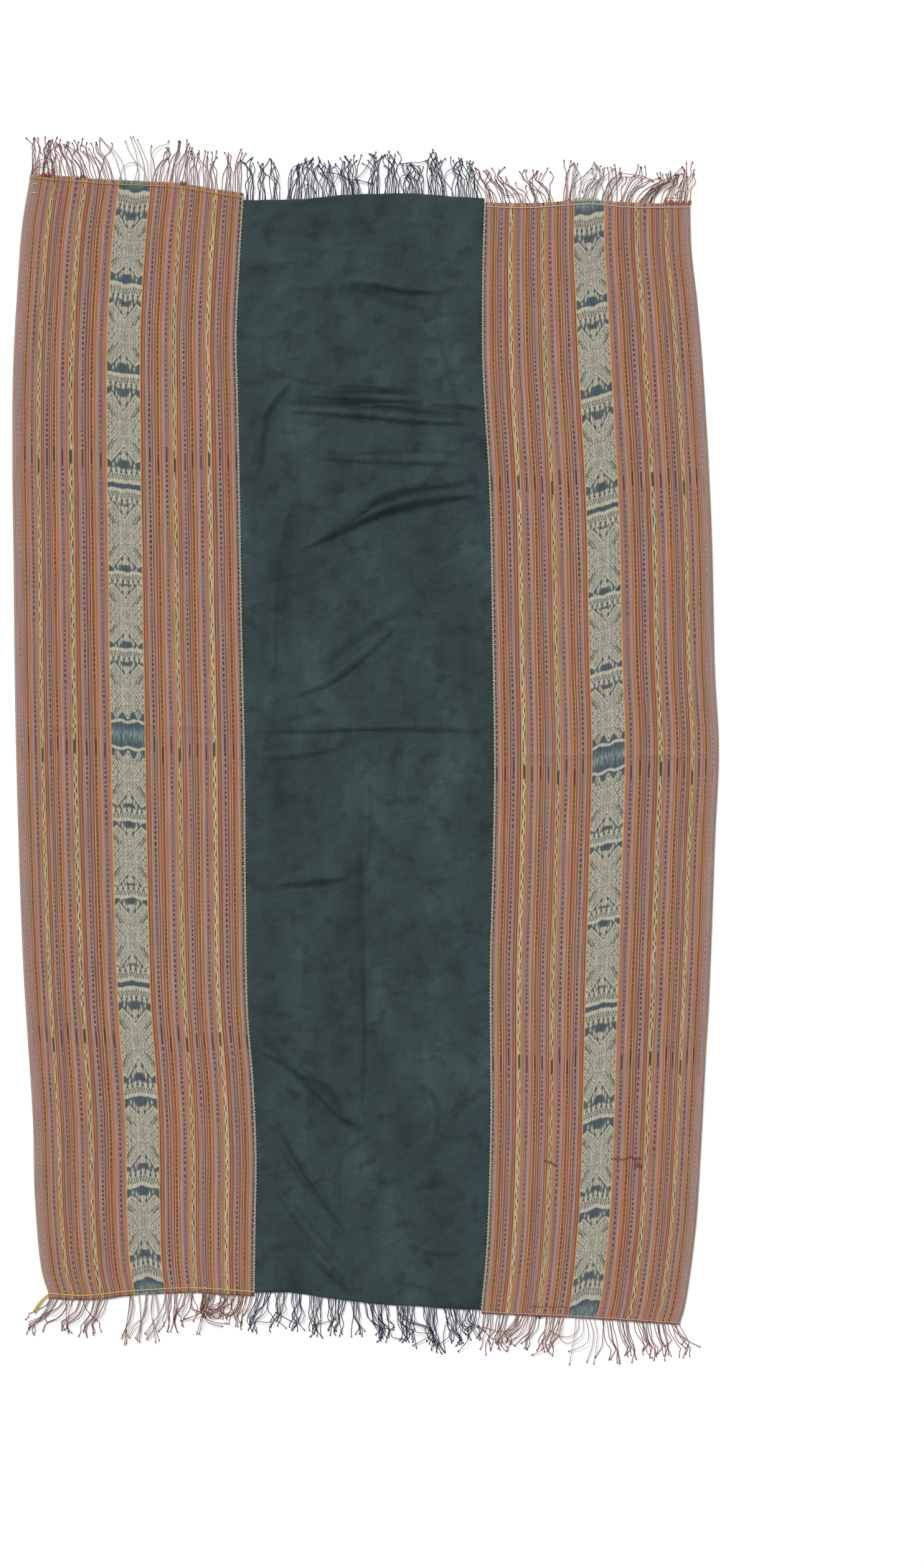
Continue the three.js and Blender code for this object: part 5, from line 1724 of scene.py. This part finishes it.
# %% Loose thread ends
TAIL = [(-508, -878), (-517, -886), (-525, -896), (-531, -907)]
TAIL_PLIES = 16
TAIL_SEED = 11
BASTING = {
    "upper_basting_stitch": [(-536, 902), (-531, 905), (-526, 904)],
    "lower_basting_stitch": [(-540, 888), (-534, 890), (-527, 890)],
}


def tail_paths(random):
    """Plies that start together and fan out: the tail's line, plus a sideways share that grows along it"""
    line = along(smooth_line(TAIL, 2), np.linspace(0, 1, 12))
    t = np.linspace(0, 1, 12)[None, :]
    fan = random.normal(0, 1.7, (TAIL_PLIES, 1)) * (0.35 + 0.65 * t)
    x = line[None, :, 0] + fan * 0.75
    y = line[None, :, 1] - fan * 0.65 - random.uniform(-3, 2, (TAIL_PLIES, 1)) * t * t
    z = 0.5 + random.uniform(0, 1.5, (TAIL_PLIES, 1)) * np.sin(np.pi * (0.2 + 0.6 * t))
    return np.stack([x, y, z + 0.8 * (1 - t)], -1)


yellow = twisted_yarn("loose yellow cotton", "#c8ae58", light=1.15, dark=0.85)
plies = tail_paths(np.random.default_rng(TAIL_SEED))
tail = tube_object("yellow_thread_brush", plies, np.full(plies.shape[:2], 0.45), 5, yellow)
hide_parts("yellow_thread_tail")

cream = twisted_yarn("cream basting cotton", "#e3dccb", light=1.05, dark=0.9)
for name, points in BASTING.items():
    line = smooth_line(points, 1)
    arch = np.sin(np.pi * np.linspace(0, 1, len(line)))
    path = np.column_stack([line, side_lift("left", *line.T) + CLOTH_THICKNESS + 0.1 + 0.5 * arch])
    basting = tube_object(name, path[None], np.full((1, len(path)), 0.5), 6, cream)

# %% [markdown]
# Cut ends of spare warp stand out from the headings as small coloured tufts. They could be one bristly
# texture, but loose fibres show best as short strands, each with a place, a lean and a bend of its own.

# %% Tufts of cut warp
TUFTS = table("place, x, width, colour", [
    ("left top", -511, 16, "#a8483a"),
    ("left top", -459, 4, "#3f5f66"),
    ("left top", -452, 6, "#a8483a"),
    ("left top", -395, 7, "#c9b9a8"),
    ("left top", -294, 7, "#b04a38"),
    ("left top", -290, 4, "#3d6a62"),
    ("right top", 352, 46, "#cfc4ae"),
    ("right top", 503, 38, "#b0603c"),
    ("right bottom", 278, 12, "#4a332d"),
])
FIBRES_PER_MM = 1.6
FIBRE_RADIUS = 0.32
TUFT_SEED = 23


def tuft_paths(tuft, random):
    """Short fibres from a heading's end: each is a straight lean plus a bend that grows by the square"""
    name, end = tuft["place"].split()
    side = 1 if end == "top" else -1
    count = 5 + round(tuft["width"] * FIBRES_PER_MM)
    t = np.linspace(0, 1, 5)[None, :]
    root = tuft["x"] + random.uniform(-0.5, 0.5, (count, 1)) * tuft["width"]
    line = end_lines[tuft["place"]]
    base = np.interp(root, line[:, 0], line[:, 1]) + side * (PANELS[name]["heading"][end == "top"] - 3)
    long = random.uniform(3, 8, (count, 1))
    x = root + random.normal(0, 1.6, (count, 1)) * t + random.normal(0, 2.0, (count, 1)) * t ** 2
    y = base + side * long * t
    z = CLOTH_THICKNESS + 0.5 + random.uniform(0, 1.2, (count, 1)) * np.sin(np.pi * t) - 0.9 * t
    return np.stack([x, y, z], -1)


draw = np.random.default_rng(TUFT_SEED)
tufts = [tuft_paths(tuft, draw) for tuft in TUFTS]
fibres = np.concatenate(tufts)
tuft_colours = palette([tuft["colour"] for tuft, paths in zip(TUFTS, tufts) for _ in paths])
loose_warp = tube_object("loose_warp_tufts", fibres, np.full(fibres.shape[:2], FIBRE_RADIUS), 4, fringe_yarn,
                         tuft_colours)
